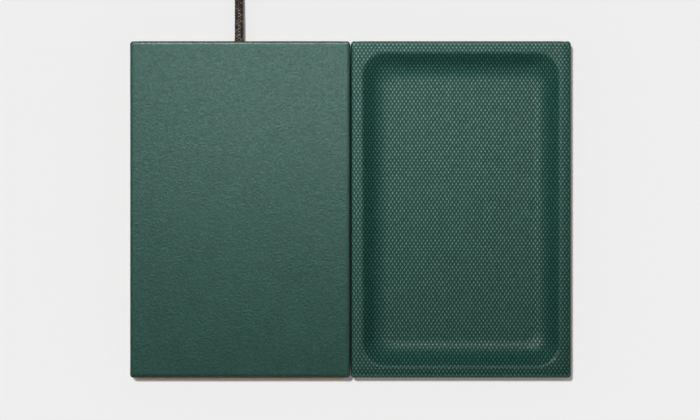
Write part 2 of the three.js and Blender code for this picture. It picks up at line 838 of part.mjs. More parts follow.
// Strap round all the turns of the coil, on the side away from the lead.
function cordTie() {
  const slack = fitGap + bondGap;
  const pitch = cordDiameter + cordCoilGap;
  const innerRadius = cordCoilOuterRadius - (pitch * cordCoilTurns) / 2 - cordRadius;
  const near = Math.sqrt(innerRadius ** 2 - (tieWidth / 2) ** 2) - slack;
  const far = cordCoilOuterRadius + cordRadius + slack;
  const low = cordRest - cordRadius - fitGap;
  const high = coilEnd.z + cordRadius + fitGap;
  const width = far - near;
  const height = high - low;
  const outerCorner = tieCorner + tieThickness;
  const band = new THREE.Shape(
    roundedOutline(width + 2 * tieThickness, height + 2 * tieThickness, outerCorner),
  );
  band.holes.push(new THREE.Path(roundedOutline(width, height, tieCorner).reverse()));
  const geometry = new THREE.ExtrudeGeometry(band, { depth: tieWidth, bevelEnabled: false });
  geometry.translate(0, 0, -tieWidth / 2).rotateX(Math.PI / 2);
  const centreX = coilStart.x + cordCoilOuterRadius + (near + far) / 2;
  return geometry.translate(centreX, coilStart.y + cordDiameter, (low + high) / 2);
}

// A prism along +X over a rounded rectangle of the given height and width.
function barAlongX(height, width, corner, start, end) {
  return slab(height, width, corner, start, end).rotateY(Math.PI / 2);
}

// Moulded plug body with a tapered relief where the cord enters.
function plugBody() {
  const relief = new THREE.CylinderGeometry(
    cordRadius + plugReliefWall + plugReliefFlare,
    cordRadius + plugReliefWall,
    plugReliefLength + plugBodyCorner,
    roundSides,
  );
  relief.rotateZ(-Math.PI / 2).translate((plugReliefLength + plugBodyCorner) / 2, 0, 0);
  const start = plugReliefLength;
  const body = barAlongX(plugBodyThickness, plugBodyWidth, plugBodyCorner, start, start + plugBodyLength);
  return geometryOf(joined([solid(relief), solid(body)]));
}

// Thin metal sleeve of the plug, open at both ends.
function plugShell(start) {
  const end = start + plugShellLength;
  const outside = barAlongX(plugShellHeight, plugShellWidth, plugShellCorner, start, end);
  const innerHeight = plugShellHeight - 2 * plugShellWall;
  const innerWidth = plugShellWidth - 2 * plugShellWall;
  const innerCorner = Math.max(plugShellCorner - plugShellWall, leastCorner);
  const inside = barAlongX(innerHeight, innerWidth, innerCorner, start - fitGap, end + fitGap);
  return geometryOf(cut(solid(outside), [solid(inside)]));
}

const plug = new THREE.Group();
plug.position.set(tailEnd.x + fitGap, tailEnd.y, plugHeight);
cord.add(plug);
const plugFront = plugReliefLength + plugBodyLength + fitGap;
const tongueDrop = (plugShellHeight / 2 - plugShellWall - plugTongueThickness / 2) / 2;
const tongue = box(
  plugTongueLength,
  plugTongueWidth,
  plugTongueThickness,
  plugFront + plugTongueLength / 2,
  0,
  tongueDrop,
);
addPiece(cord, "cord_lead", smoothTube(leadRoute), braid, 0.9);
addPiece(cord, "cord_coil", woundTube(coilPoints, cordDiameter), braid, 0.9);
addPiece(cord, "cord_tail", smoothTube(tailRoute), braid, 0.9);
addPiece(cord, "cord_tie", cordTie(), green, 0.7);
addPiece(plug, "plug_body", plugBody(), blackPlastic, 0.6);
addPiece(plug, "plug_shell", plugShell(plugFront), steel, 0.3, 1);
addPiece(plug, "plug_tongue", tongue, "#e8e6df", 0.6);
console.log("cord_coil least gap", leastGap(coilPoints, cordDiameter).toFixed(2), "mm");

export default root;
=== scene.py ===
"""Looks of a charging tray: wrapped leather, an embossed dish, a braided cord and a plain studio.

Lengths are in metres, apart from names that end in MM.
"""

import json

import bpy
import numpy as np
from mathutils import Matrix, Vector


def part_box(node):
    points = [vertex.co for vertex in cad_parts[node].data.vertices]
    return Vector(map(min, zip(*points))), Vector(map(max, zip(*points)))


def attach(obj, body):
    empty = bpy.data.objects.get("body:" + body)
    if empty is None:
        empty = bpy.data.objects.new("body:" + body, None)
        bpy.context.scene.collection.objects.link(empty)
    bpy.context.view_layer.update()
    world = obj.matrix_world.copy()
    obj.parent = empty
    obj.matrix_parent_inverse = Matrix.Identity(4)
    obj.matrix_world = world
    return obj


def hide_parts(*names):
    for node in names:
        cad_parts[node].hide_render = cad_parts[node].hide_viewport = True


bl_info = {
    "name": "Charging tray looks",
    "version": (1, 0, 0),
    "blender": (4, 5, 0),
    "location": "View3D > Sidebar > Charging Tray",
    "description": "Dresses a two-module charging tray in leather, cord and studio light",
    "category": "Object",
}

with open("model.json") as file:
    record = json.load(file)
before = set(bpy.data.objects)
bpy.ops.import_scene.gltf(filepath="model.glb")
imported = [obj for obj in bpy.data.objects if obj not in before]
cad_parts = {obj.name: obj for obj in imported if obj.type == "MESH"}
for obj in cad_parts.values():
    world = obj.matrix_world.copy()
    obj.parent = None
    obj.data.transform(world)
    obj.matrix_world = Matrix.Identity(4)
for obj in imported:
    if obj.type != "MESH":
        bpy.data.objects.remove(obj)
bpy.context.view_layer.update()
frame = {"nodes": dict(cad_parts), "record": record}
MM = 0.001
SHARP_EDGE = np.radians(40)
CHARGER = "charging_module"
TRAY = "tray_module"


def node_box(node):
    """A node's lowest and highest corners as two arrays."""
    low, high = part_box(node)
    return np.array(low), np.array(high)


def mount_height(name):
    """The height of a mount that the record names."""
    return next(m["pos_m"][2] for m in frame["record"]["mounts"] if m["name"] == name)


COVER_LOW, COVER_HIGH = node_box("charger_leather_cover")
LINER_LOW, LINER_HIGH = node_box("tray_leather_liner")
DISH_FLOOR = mount_height("dish_floor")


class LeatherSettings(bpy.types.PropertyGroup):
    """Sizes and colours of the leather on both modules."""

    corner_radius: bpy.props.FloatProperty(
        name="Corner radius", description="Radius of the upright corners", default=1.6 * MM, unit="LENGTH")
    edge_radius: bpy.props.FloatProperty(
        name="Edge radius", description="Radius of the top edges", default=1.4 * MM, unit="LENGTH")
    thickness: bpy.props.FloatProperty(
        name="Thickness", description="Thickness of the leather", default=1.2 * MM, unit="LENGTH")
    rim_width: bpy.props.FloatProperty(
        name="Rim width", description="Rim round the dish", default=5.1 * MM, unit="LENGTH")
    rim_crown: bpy.props.FloatProperty(
        name="Rim crown", description="How far the rim falls from the lip to its outer edge",
        default=0.4 * MM, unit="LENGTH")
    lip_radius: bpy.props.FloatProperty(
        name="Lip radius", description="Round over the dish's lip", default=1.6 * MM, unit="LENGTH")
    floor_radius: bpy.props.FloatProperty(
        name="Floor radius", description="Round from the wall into the floor",
        default=11.0 * MM, unit="LENGTH")
    wall_lean: bpy.props.FloatProperty(
        name="Wall lean", description="Slope of the dish wall", default=np.radians(50), subtype="ANGLE")
    lip_corner: bpy.props.FloatProperty(
        name="Lip corner", description="Corner radius of the dish at the rim",
        default=11.5 * MM, unit="LENGTH")
    floor_corner: bpy.props.FloatProperty(
        name="Floor corner", description="Corner radius of the dish floor", default=6.0 * MM, unit="LENGTH")
    diamond_width: bpy.props.FloatProperty(
        name="Diamond width", description="Width of one embossed diamond", default=1.92 * MM, unit="LENGTH")
    diamond_length: bpy.props.FloatProperty(
        name="Diamond length", description="Length of one embossed diamond",
        default=2.955 * MM, unit="LENGTH")
    diamond_depth: bpy.props.FloatProperty(
        name="Diamond depth", description="Depth of the grooves between the diamonds",
        default=0.34 * MM, unit="LENGTH")
    base_corner: bpy.props.FloatProperty(
        name="Base corner", description="Corner radius of the base boards", default=4.5 * MM, unit="LENGTH")
    colour: bpy.props.FloatVectorProperty(
        name="Leather", description="Colour of the green leather", subtype="COLOR", size=3,
        default=(0.0115, 0.068, 0.0515))
    # Used on rubbed edges as wear, and on raised dots as wear and painted highlight.
    worn_and_highlight_colour: bpy.props.FloatVectorProperty(
        name="Rubbed and highlighted leather", description="Colour of rubbed edges, and of raised dots for wear and painted highlight", subtype="COLOR",
        size=3, default=(0.05, 0.125, 0.103))
    board_colour: bpy.props.FloatVectorProperty(
        name="Base board", description="Colour of the tan base board", subtype="COLOR", size=3,
        default=(0.44, 0.235, 0.112))


class CordSettings(bpy.types.PropertyGroup):
    """Sizes and colours of the braided cord."""

    diameter: bpy.props.FloatProperty(
        name="Diameter", description="Diameter over the braid", default=4.5 * MM, unit="LENGTH")
    length: bpy.props.FloatProperty(
        name="Length", description="Length outside the module, without the plug",
        default=1.215, unit="LENGTH")
    strands_around: bpy.props.IntProperty(
        name="Strands around", description="Strands that wind each way round the cord", default=6)
    strand_length: bpy.props.FloatProperty(
        name="Strand length", description="Length of one crossing of the braid",
        default=1.5 * MM, unit="LENGTH")
    strand_relief: bpy.props.FloatProperty(
        name="Strand relief", description="How far the strands stand out", default=0.32 * MM, unit="LENGTH")
    strap_thickness: bpy.props.FloatProperty(
        name="Strap thickness", description="Thickness of the strap round the coil",
        default=0.8 * MM, unit="LENGTH")
    strap_corner: bpy.props.FloatProperty(
        name="Strap corner", description="Radius of the strap's outer bends",
        default=2.8 * MM, unit="LENGTH")
    relief_length: bpy.props.FloatProperty(
        name="Relief length", description="Length of the plug's ribbed strain relief",
        default=9.0 * MM, unit="LENGTH")
    relief_rib: bpy.props.FloatProperty(
        name="Relief rib", description="Distance between the ribs of the strain relief",
        default=1.8 * MM, unit="LENGTH")
    plug_corner: bpy.props.FloatProperty(
        name="Plug corner", description="Corner radius of the plug's body", default=2.4 * MM, unit="LENGTH")
    colour: bpy.props.FloatVectorProperty(
        name="Braid", description="Colour of most strands", subtype="COLOR", size=3,
        default=(0.018, 0.011, 0.0085))
    fleck_colour: bpy.props.FloatVectorProperty(
        name="Fleck", description="Colour of the lighter strands", subtype="COLOR", size=3,
        default=(0.21, 0.165, 0.14))


class StageSettings(bpy.types.PropertyGroup):
    """Camera, lamps and floor of the studio."""

    camera_height: bpy.props.FloatProperty(
        name="Camera height", description="Height above the leather", default=4.0, unit="LENGTH")
    frame_width: bpy.props.FloatProperty(
        name="Frame width", description="Width that the picture takes in at the leather", default=0.3482,
        unit="LENGTH")
    camera_place: bpy.props.FloatVectorProperty(
        name="Camera place", description="Where the camera stands from the middle", size=2,
        default=(-0.25 * MM, -0.25 * MM), unit="LENGTH")
    floor_colour: bpy.props.FloatVectorProperty(
        name="Floor", description="Colour of the pale floor", subtype="COLOR", size=3,
        default=(0.863, 0.863, 0.863))
    floor_glow: bpy.props.FloatProperty(
        name="Floor glow", description="Share of the floor's colour that shows in its open shadows too",
        default=0.24)
    floor_power: bpy.props.FloatProperty(
        name="Floor light", description="Strength of the light on the floor alone", default=2.68)
    board_power: bpy.props.FloatProperty(
        name="Board light", description="Strength of the light from the front on the base boards alone",
        default=1.6)
    overhead_power: bpy.props.FloatProperty(
        name="Overhead lamp", description="Power of the lamp above the rear edge, in watts", default=1.28)
    sheen_power: bpy.props.FloatProperty(
        name="Sheen lamp", description="Power of the lamp that gives the leather its sheen, in watts",
        default=0.42)
    glint_power: bpy.props.FloatProperty(
        name="Glint lamp", description="Power of the lamp that glints in the dish's corner, in watts",
        default=9.0)
    rear_power: bpy.props.FloatProperty(
        name="Rear lamp", description="Power of the low lamp that lines the cover's rear edge, in watts",
        default=5.5)
    world_light: bpy.props.FloatProperty(
        name="Room light", description="Strength of the even light from all round", default=0.16)


def settings(kind):
    """The scene's settings of one kind: leather, cord or stage."""
    return getattr(bpy.context.scene, "charging_tray_" + kind)


def make_piece(name, points, faces, body, slot, replaced=(), attributes=None, uv=None, sharp=False):
    """One mesh object at the origin from whole arrays of points and equal-sided faces, with the finish of a
    slot and riding on a body."""
    points = np.asarray(points, np.float32).reshape(-1, 3)
    faces = np.asarray(faces, np.int32)
    count, sides = faces.shape
    mesh = bpy.data.meshes.new(name)
    mesh.vertices.add(len(points))
    mesh.vertices.foreach_set("co", points.ravel())
    mesh.loops.add(count * sides)
    mesh.loops.foreach_set("vertex_index", faces.ravel())
    mesh.polygons.add(count)
    mesh.polygons.foreach_set("loop_start", np.arange(0, count * sides, sides, dtype=np.int32))
    mesh.update(calc_edges=True)
    mesh.shade_smooth()
    if sharp:
        mesh.set_sharp_from_angle(angle=SHARP_EDGE)
    for key, values in (attributes or {}).items():
        store = mesh.attributes.new(key, "FLOAT", "POINT")
        store.data.foreach_set("value", np.asarray(values, np.float32).ravel())
    if uv is not None:
        layer = mesh.uv_layers.new(name="UVMap")
        layer.data.foreach_set("uv", np.asarray(uv, np.float32).ravel())
    if mesh.validate():
        raise RuntimeError(name + " has faulty faces")
    piece = bpy.data.objects.new(name, mesh)
    bpy.context.scene.collection.objects.link(piece)
    mesh.materials.append(slot_material(slot))
    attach(piece, body)
    if replaced:
        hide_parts(*replaced)
    return piece


def two_triangles(a, b, c, d):
    """Two triangles for each quad a b c d of a grid, split from b to d in every second quad and from a to c
    in the others."""
    row, column = np.indices(a.shape)
    other_way = ((row + column) % 2 == 1)[..., None]
    first = np.where(other_way, np.stack([a, b, d], -1), np.stack([a, b, c], -1))
    second = np.where(other_way, np.stack([b, c, d], -1), np.stack([a, c, d], -1))
    return np.concatenate([first.reshape(-1, 3), second.reshape(-1, 3)])


def strip_triangles(rows):
    """Triangles between neighbouring rows of point numbers that close on themselves, without those that name
    a point twice."""
    right = np.roll(rows, -1, axis=1)
    triangles = two_triangles(rows[:-1], rows[1:], right[1:], right[:-1])
    a, b, c = triangles.T
    return triangles[(a != b) & (b != c) & (c != a)]


def tube_quads(rings, around):
    """Point numbers of an open tube's quads, by ring, place around it and corner."""
    row, column = np.indices((rings - 1, around))
    beside = (column + 1) % around
    near, far = row * around, (row + 1) * around
    return np.stack([near + column, near + beside, far + beside, far + column], -1)


def full_turn(steps):
    """Angles in equal steps once round."""
    return np.linspace(0, 2 * np.pi, steps, endpoint=False)


def rounded_ring(half_x, half_y, radius, arc_steps, flat_steps=1):
    """A rounded rectangle as points and normal angles: four quarter arcs, each its corner's centre plus the
    radius times the angle's cosine and sine, joined by flats cut into equal steps."""
    turn = np.linspace(0, np.pi / 2, arc_steps + 1)
    angle = turn[None] + np.arange(4)[:, None] * np.pi / 2
    centre = np.array([[1, 1], [-1, 1], [-1, -1], [1, -1]]) * [half_x - radius, half_y - radius]
    arcs = centre[:, None] + radius * np.stack([np.cos(angle), np.sin(angle)], -1)
    share = np.linspace(0, 1, flat_steps + 1)[1:-1, None]
    flats = arcs[:, None, -1] * (1 - share) + np.roll(arcs, -1, 0)[:, None, 0] * share
    flat_angle = np.repeat(angle[:, -1:], flat_steps - 1, 1)
    points = np.concatenate([arcs, flats], 1).reshape(-1, 2)
    return points, np.concatenate([angle, flat_angle], 1).ravel()


def closed_loft(rings):
    """A closed skin through rings of points that turn counter-clockwise about the way they advance, with
    both ends closed by triangles to the middle of the end ring."""
    count = rings.shape[1]
    points = np.concatenate([rings.reshape(-1, 3), rings[[0, -1]].mean(1)])
    rows = np.arange(rings.shape[0] * count).reshape(-1, count)
    first = np.full((1, count), len(points) - 2)
    last = np.full((1, count), len(points) - 1)
    return points, strip_triangles(np.concatenate([first, rows, last])[::-1])


def closed_torus(rings):
    """A skin through rings that close on themselves both ways."""
    count = rings.shape[1]
    rows = np.arange(rings.shape[0] * count).reshape(-1, count)
    return rings.reshape(-1, 3), strip_triangles(np.concatenate([rows, rows[:1]])[::-1])


BEVEL_POINTS = 5
SLAB_ARC_STEPS = 10


def soft_slab(low, high, corner, bevel):
    """A flat slab with rounded corners, whose top and bottom edges are quarter rounds of the bevel's
    radius."""
    middle, half = (low + high) / 2, (high - low) / 2
    turn = np.linspace(0, np.pi / 2, BEVEL_POINTS)
    draw = bevel * (1 - np.concatenate([np.sin(turn), np.cos(turn)]))
    height = np.concatenate([low[2] + bevel * (1 - np.cos(turn)), high[2] - bevel * (1 - np.sin(turn))])
    outline = np.stack([
        rounded_ring(half[0] - d, half[1] - d, corner - d, SLAB_ARC_STEPS)[0] + middle[:2] for d in draw])
    level_z = np.broadcast_to(height[:, None, None], (*outline.shape[:2], 1))
    return closed_loft(np.concatenate([outline, level_z], -1))


def fill(tree, node, inputs):
    """Gives a node's inputs, by name or number, their values or other nodes' sockets."""
    for key, value in inputs.items():
        if isinstance(value, bpy.types.NodeSocket):
            tree.links.new(value, node.inputs[key])
        else:
            node.inputs[key].default_value = value


def new_node(tree, kind, inputs=None, **values):
    """A shader node with its own values set and its inputs filled."""
    node = tree.nodes.new(kind)
    for key, value in values.items():
        setattr(node, key, value)
    fill(tree, node, inputs or {})
    return node


def maths(tree, operation, *values):
    """The result of one sum on numbers or sockets."""
    return new_node(tree, "ShaderNodeMath", dict(enumerate(values)), operation=operation).outputs[0]


def product(tree, first, second):
    """Two numbers or sockets multiplied."""
    return maths(tree, "MULTIPLY", first, second)


def mixed(tree, factor, first, second):
    """A colour between two colours."""
    node = new_node(tree, "ShaderNodeMix", {0: factor, 6: first, 7: second}, data_type="RGBA")
    return node.outputs[2]


def ramped(tree, value, low, high, first=0.0, second=1.0):
    """A number that goes smoothly from first to second as the value goes from low to high."""
    inputs = {"Value": value, "From Min": low, "From Max": high, "To Min": first, "To Max": second}
    return new_node(tree, "ShaderNodeMapRange", inputs, interpolation_type="SMOOTHSTEP").outputs[0]


def noise(tree, place, scale, **values):
    """Soft noise at a scale, as a number and as a colour."""
    inputs = {"Vector": place, "Scale": scale, **values}
    return new_node(tree, "ShaderNodeTexNoise", inputs).outputs


def cells(tree, place, scale, **values):
    """Scattered cells at a scale, as the distance from their middles or, where the values say so, edges."""
    inputs = {"Vector": place, "Scale": scale}
    return new_node(tree, "ShaderNodeTexVoronoi", inputs, **values).outputs["Distance"]


def opaque(colour, share=1.0):
    """A colour with full opacity, brightened or darkened by a share."""
    return (*[c * share for c in colour], 1.0)


def start_group(name, numbers, outputs):
    """An empty node group with a Vector input, number inputs with their defaults, and number outputs, as the
    group, its input sockets and its output node."""
    group = bpy.data.node_groups.new(name, "ShaderNodeTree")
    face = group.interface
    face.new_socket(name="Vector", in_out="INPUT", socket_type="NodeSocketVector")
    for key, value in numbers.items():
        face.new_socket(name=key, in_out="INPUT", socket_type="NodeSocketFloat").default_value = value
    for key in outputs:
        face.new_socket(name=key, in_out="OUTPUT", socket_type="NodeSocketFloat")
    return group, group.nodes.new("NodeGroupInput").outputs, group.nodes.new("NodeGroupOutput")


def mottle_group():
    """Cloudy unevenness: soft noise at a scale and finer noise over it, as a share from 0 to 1."""
    group, inside, out = start_group("mottle", {"Scale": 40.0, "Contrast": 1.0}, ["Share"])
    cloud = noise(group, inside["Vector"], inside["Scale"], Detail=4.0, Roughness=0.6)[0]
    spread = product(group, maths(group, "SUBTRACT", cloud, 0.5), inside["Contrast"])
    fill(group, out, {"Share": maths(group, "ADD", spread, 0.5)})
    return group


def hide_group():
    """Leather grain: soft pebbles, and rounded cells parted by creases with fine pores over them, as a
    height and a crease mask."""
    numbers = {"Scale": 900.0, "Pores": 0.35, "Pebbles": 2.0}
    group, inside, out = start_group("hide", numbers, ["Height", "Crease"])
    place, scale = inside["Vector"], inside["Scale"]
    wander = noise(group, place, product(group, scale, 0.35), Detail=2.0)[1]
    pull = maths(group, "DIVIDE", 0.25, scale)
    bent = new_node(group, "ShaderNodeMix", {0: pull, 4: place, 5: wander}, data_type="VECTOR").outputs[1]
    crease = ramped(group, cells(group, bent, scale, feature="DISTANCE_TO_EDGE"), 0.0, 0.16, 1.0, 0.0)
    pores = noise(group, place, product(group, scale, 2.7), Detail=3.0)[0]
    fine = product(group, pores, inside["Pores"])
    pebbles = noise(group, place, product(group, scale, 0.6), Detail=1.0)[0]
    coarse = product(group, pebbles, inside["Pebbles"])
    total = maths(group, "ADD", maths(group, "SUBTRACT", fine, crease), coarse)
    fill(group, out, {"Height": total, "Crease": crease})
    return group


def fibre_group():
    """Matted fibre: noise stretched along X and noise stretched along Y, whichever is higher."""
    group, inside, out = start_group("fibre", {"Scale": 1400.0, "Stretch": 0.22}, ["Height"])
    heights = []
    for axis in range(2):
        stretch = new_node(group, "ShaderNodeCombineXYZ", {0: 1.0, 1: 1.0, 2: 1.0, axis: inside["Stretch"]})
        along = new_node(group, "ShaderNodeVectorMath", {0: inside["Vector"], 1: stretch.outputs[0]},
                         operation="MULTIPLY").outputs[0]
        heights.append(noise(group, along, inside["Scale"], Detail=3.0)[0])
    fill(group, out, {"Height": maths(group, "MAXIMUM", *heights)})
    return group


def moulded_group():
    """Moulded or plated skin: fine spark texture as a height, and slow smears as a roughness share."""
    group, inside, out = start_group("moulded", {"Scale": 2500.0, "Smear": 60.0}, ["Height", "Smear"])
    spark = noise(group, inside["Vector"], inside["Scale"])[0]
    smear = noise(group, inside["Vector"], inside["Smear"], Detail=5.0, Distortion=0.6)[0]
    fill(group, out, {"Height": spark, "Smear": smear})
    return group


def shared_group(name):
    """A node group by name, built the first time that it is asked for."""
    builders = {"mottle": mottle_group, "hide": hide_group, "fibre": fibre_group, "moulded": moulded_group}
    return bpy.data.node_groups.get(name) or builders[name]()


def start_material(name, coordinates="Object"):
    """An empty material with its node tree, its shader and the coordinates that its patterns follow."""
    material = bpy.data.materials.new(name)
    material.use_nodes = True
    tree = material.node_tree
    shader = tree.nodes["Principled BSDF"]
    place = tree.nodes.new("ShaderNodeTexCoord").outputs[coordinates]
    return material, tree, shader, place


def grouped(tree, name, place, **values):
    """The outputs of a shared node group, placed with its own values."""
    inputs = {"Vector": place, **values}
    return new_node(tree, "ShaderNodeGroup", inputs, node_tree=shared_group(name)).outputs


def bumped(tree, shader, height, depth, strength):
    """Feeds a height to the shader's normal, at a depth in metres and a strength."""
    inputs = {"Height": height, "Distance": depth, "Strength": strength}
    fill(tree, shader, {"Normal": new_node(tree, "ShaderNodeBump", inputs).outputs[0]})


def attribute(tree, name):
    """A number that the piece's own mesh carries at each point."""
    return new_node(tree, "ShaderNodeAttribute", attribute_name=name).outputs["Fac"]


def leather_material(name, embossed):
    """Green leather: mottled dye, lighter on rubbed edges and darker in creases. Raised dots are lighter,
    partly from wear and partly as painted highlight, which fades on steep dish walls as painted shade;
    grooves are darker, partly from dye and partly as painted shade; and painted shade darkens the sheet where
    it turns down over an edge."""
    look = settings("leather")
    material, tree, shader, place = start_material(name)
    cloud = grouped(tree, "mottle", place, Scale=55.0, Contrast=1.6)["Share"]
    patch = grouped(tree, "mottle", place, Scale=850.0, Contrast=3.8)["Share"]
    hide = grouped(tree, "hide", place, Scale=1500.0, Pores=0.5, Pebbles=0.5 if embossed else 7.0)
    dye = mixed(tree, patch, opaque(look.colour, 0.62), opaque(look.colour, 1.4))
    dye = mixed(tree, product(tree, cloud, 0.4), dye, opaque(look.colour, 0.8))
    rubbed = product(tree, ramped(tree, attribute(tree, "crest"), 0.2, 1.0), cloud)
    dye = mixed(tree, rubbed, dye, opaque(look.worn_and_highlight_colour))
    dye = mixed(tree, product(tree, hide["Crease"], 0.35), dye, opaque(look.colour, 0.5))
    # Painted shade: the band just past the top edge darkens where the sheet turns down; the same mask raises
    # roughness and drops the lighter tops.
    turned_shade = attribute(tree, "turned_shade")
    dye = mixed(tree, product(tree, turned_shade, 0.75), dye, opaque(look.colour, 0.3))
    rough = ramped(tree, maths(tree, "ADD", cloud, patch), 0.5, 1.5, 0.36, 0.26)
    rough = maths(tree, "MAXIMUM", rough, product(tree, turned_shade, 0.95))
    if embossed:
        raised = attribute(tree, "raised")
        # Grooves between the diamonds darken, partly as darker dye and partly as painted shade.
        groove_dye_and_shade = ramped(tree, raised, 0.1, 0.7, 0.95, 0.0)
        dye = mixed(tree, groove_dye_and_shade, dye, opaque(look.colour, 0.5))
        # Lighter raised tops: partly wear, partly a painted highlight; the same mask sets the coat.
        top = product(tree, ramped(tree, raised, 0.35, 0.9), ramped(tree, patch, 0.2, 0.8, 0.6, 1.0))
        top = product(tree, top, maths(tree, "SUBTRACT", 1.0, turned_shade))
        # Painted shade: on steep dish walls the lighter tops and their coat fade, so the walls read darker.
        top = product(tree, top, ramped(tree, attribute(tree, "steep"), 0.0, 0.35, 1.0, 0.65))
        dye = mixed(tree, top, dye, opaque(look.worn_and_highlight_colour, 1.45))
        fill(tree, shader, {"Coat Weight": top, "Coat Roughness": 0.28, "Specular IOR Level": 0.2})
    fill(tree, shader, {"Base Color": dye, "Roughness": rough})
    bumped(tree, shader, hide["Height"], 0.03 * MM, 0.5)
    return material


def board_material():
    """Tan leatherboard: matted fibre in two tones under a slow cloud."""
    tan = settings("leather").board_colour
    material, tree, shader, place = start_material("tan_board")
    fibre = grouped(tree, "fibre", place, Scale=1200.0, Stretch=0.25)["Height"]
    cloud = grouped(tree, "mottle", place, Scale=70.0, Contrast=1.4)["Share"]
    tone = mixed(tree, ramped(tree, fibre, 0.4, 0.75), opaque(tan, 0.72), opaque(tan, 1.1))
    tone = mixed(tree, product(tree, cloud, 0.35), tone, opaque(tan, 0.8))
    fill(tree, shader, {"Base Color": tone, "Roughness": ramped(tree, fibre, 0.3, 0.8, 0.82, 0.6)})
    bumped(tree, shader, fibre, 0.08 * MM, 0.6)
    return material


def suede_material():
    """Short-napped tan suede: soft patches that lie light or dark, with a fine nap."""
    tan = settings("leather").board_colour
    material, tree, shader, place = start_material("tan_suede")
    patch = grouped(tree, "mottle", place, Scale=45.0, Contrast=2.0)["Share"]
    nap = grouped(tree, "fibre", place, Scale=2600.0, Stretch=0.45)["Height"]
    tone = mixed(tree, patch, opaque(tan, 0.62), opaque(tan))
    tone = mixed(tree, ramped(tree, nap, 0.45, 0.7, 0.0, 0.5), tone, opaque(tan, 1.3))
    fill(tree, shader, {"Base Color": tone, "Roughness": 0.95, "Sheen Weight": 0.35, "Sheen Roughness": 0.5})
    bumped(tree, shader, nap, 0.1 * MM, 0.7)
    return material


def skin_material(name, colour, roughness, metallic):
    """Moulded plastic, rubber, ceramic or plated metal: a fine skin texture with uneven gloss and tone."""
    material, tree, shader, place = start_material(name)
    skin = grouped(tree, "moulded", place, Scale=2500.0, Smear=90.0)
    tone = mixed(tree, skin["Smear"], opaque(colour, 0.82), opaque(colour, 1.12))
    rough = ramped(tree, skin["Smear"], 0.3, 0.7, roughness * 0.85, min(roughness * 1.2, 1.0))
    fill(tree, shader, {"Base Color": tone, "Roughness": rough, "Metallic": metallic})
    bumped(tree, shader, skin["Height"], 0.02 * MM, 0.5)
    return material


def fibreboard_material():
    """Machined fibreboard: pressed brown fibre with darker chips."""
    material, tree, shader, place = start_material("fibreboard")
    fibre = grouped(tree, "fibre", place, Scale=900.0, Stretch=0.3)["Height"]
    chips = grouped(tree, "mottle", place, Scale=260.0, Contrast=2.2)["Share"]
    tone = mixed(tree, fibre, opaque((0.16, 0.1, 0.055)), opaque((0.3, 0.2, 0.115)))
    tone = mixed(tree, product(tree, chips, 0.4), tone, opaque((0.1, 0.06, 0.035)))
    fill(tree, shader, {"Base Color": tone, "Roughness": 0.85})
    bumped(tree, shader, fibre, 0.1 * MM, 0.6)
    return material


def foam_material():
    """Closed-cell foam: small round cells, darker in their middles."""
    material, tree, shader, place = start_material("foam")
    bubbles = cells(tree, place, 1600.0)
    tone = mixed(tree, bubbles, opaque((0.02, 0.02, 0.02)), opaque((0.075, 0.075, 0.075)))
    fill(tree, shader, {"Base Color": tone, "Roughness": 0.9})
    bumped(tree, shader, bubbles, 0.15 * MM, 0.7)
    return material


def solder_mask_material():
    """Circuit board: green solder mask over stepped tracks, with uneven gloss."""
    material, tree, shader, place = start_material("solder_mask")
    raised = ramped(tree, cells(tree, place, 330.0, feature="F1", distance="CHEBYCHEV"), 0.28, 0.34)
    skin = grouped(tree, "moulded", place, Scale=1800.0, Smear=120.0)
    tone = mixed(tree, raised, opaque((0.012, 0.1, 0.045)), opaque((0.02, 0.17, 0.07)))
    fill(tree, shader, {"Base Color": tone, "Roughness": ramped(tree, skin["Smear"], 0.3, 0.7, 0.25, 0.4)})
    bumped(tree, shader, raised, 0.04 * MM, 0.8)
    return material


THREADS_PER_STRAND = 3


def braid_material():
    """Braided sleeve on the cord's own map: crossing strands of fine threads, with a lighter stitch here and
    there, and painted shade in the hollows between the strands. Each stitch takes its chance from the numbers
    of the two strands that cross there."""
    look = settings("cord")
    material, tree, shader, spot = start_material("braid", "UV")
    parts = new_node(tree, "ShaderNodeSeparateXYZ", {0: spot}).outputs
    leaning = maths(tree, "ADD", parts[0], parts[1])
    backing = maths(tree, "SUBTRACT", parts[0], parts[1])
    numbers = [maths(tree, "FLOOR", way) for way in (leaning, backing)]
    over = maths(tree, "FLOORED_MODULO", maths(tree, "ADD", *numbers), 2.0)
    across = new_node(tree, "ShaderNodeMix", {0: over, 2: leaning, 3: backing}).outputs[0]
    thread = maths(tree, "SINE", product(tree, across, 2 * np.pi * THREADS_PER_STRAND))
    strand = maths(tree, "FLOORED_MODULO", numbers[0], float(look.strands_around))
    crossing = maths(tree, "SUBTRACT", *numbers)
    stitch = new_node(tree, "ShaderNodeCombineXYZ", {0: strand, 1: crossing}).outputs[0]
    chance = new_node(tree, "ShaderNodeTexWhiteNoise", {"Vector": stitch}).outputs["Value"]
    cloud = noise(tree, spot, 0.9, Detail=3.0)[0]
    raised = attribute(tree, "raised")
    tone = mixed(tree, cloud, opaque(look.colour, 0.5), opaque(look.colour, 1.7))
    top = ramped(tree, raised, 0.5, 0.95)
    fleck = product(tree, top, ramped(tree, chance, 0.2, 0.9))
    tone = mixed(tree, fleck, tone, opaque(look.fleck_colour))
    # Painted shade in the hollows between the strands.
    tone = mixed(tree, ramped(tree, raised, 0.25, 0.8, 0.95, 0.0), tone, opaque(look.colour, 0.15))
    tone = mixed(tree, ramped(tree, thread, -1.0, 0.2, 0.45, 0.0), tone, opaque(look.colour, 0.4))
    fill(tree, shader, {
        "Base Color": tone, "Roughness": 0.6, "Specular IOR Level": 0.1,
        "Coat Weight": top, "Coat Roughness": 0.3})
    bumped(tree, shader, thread, 0.02 * MM, 0.8)
    return material


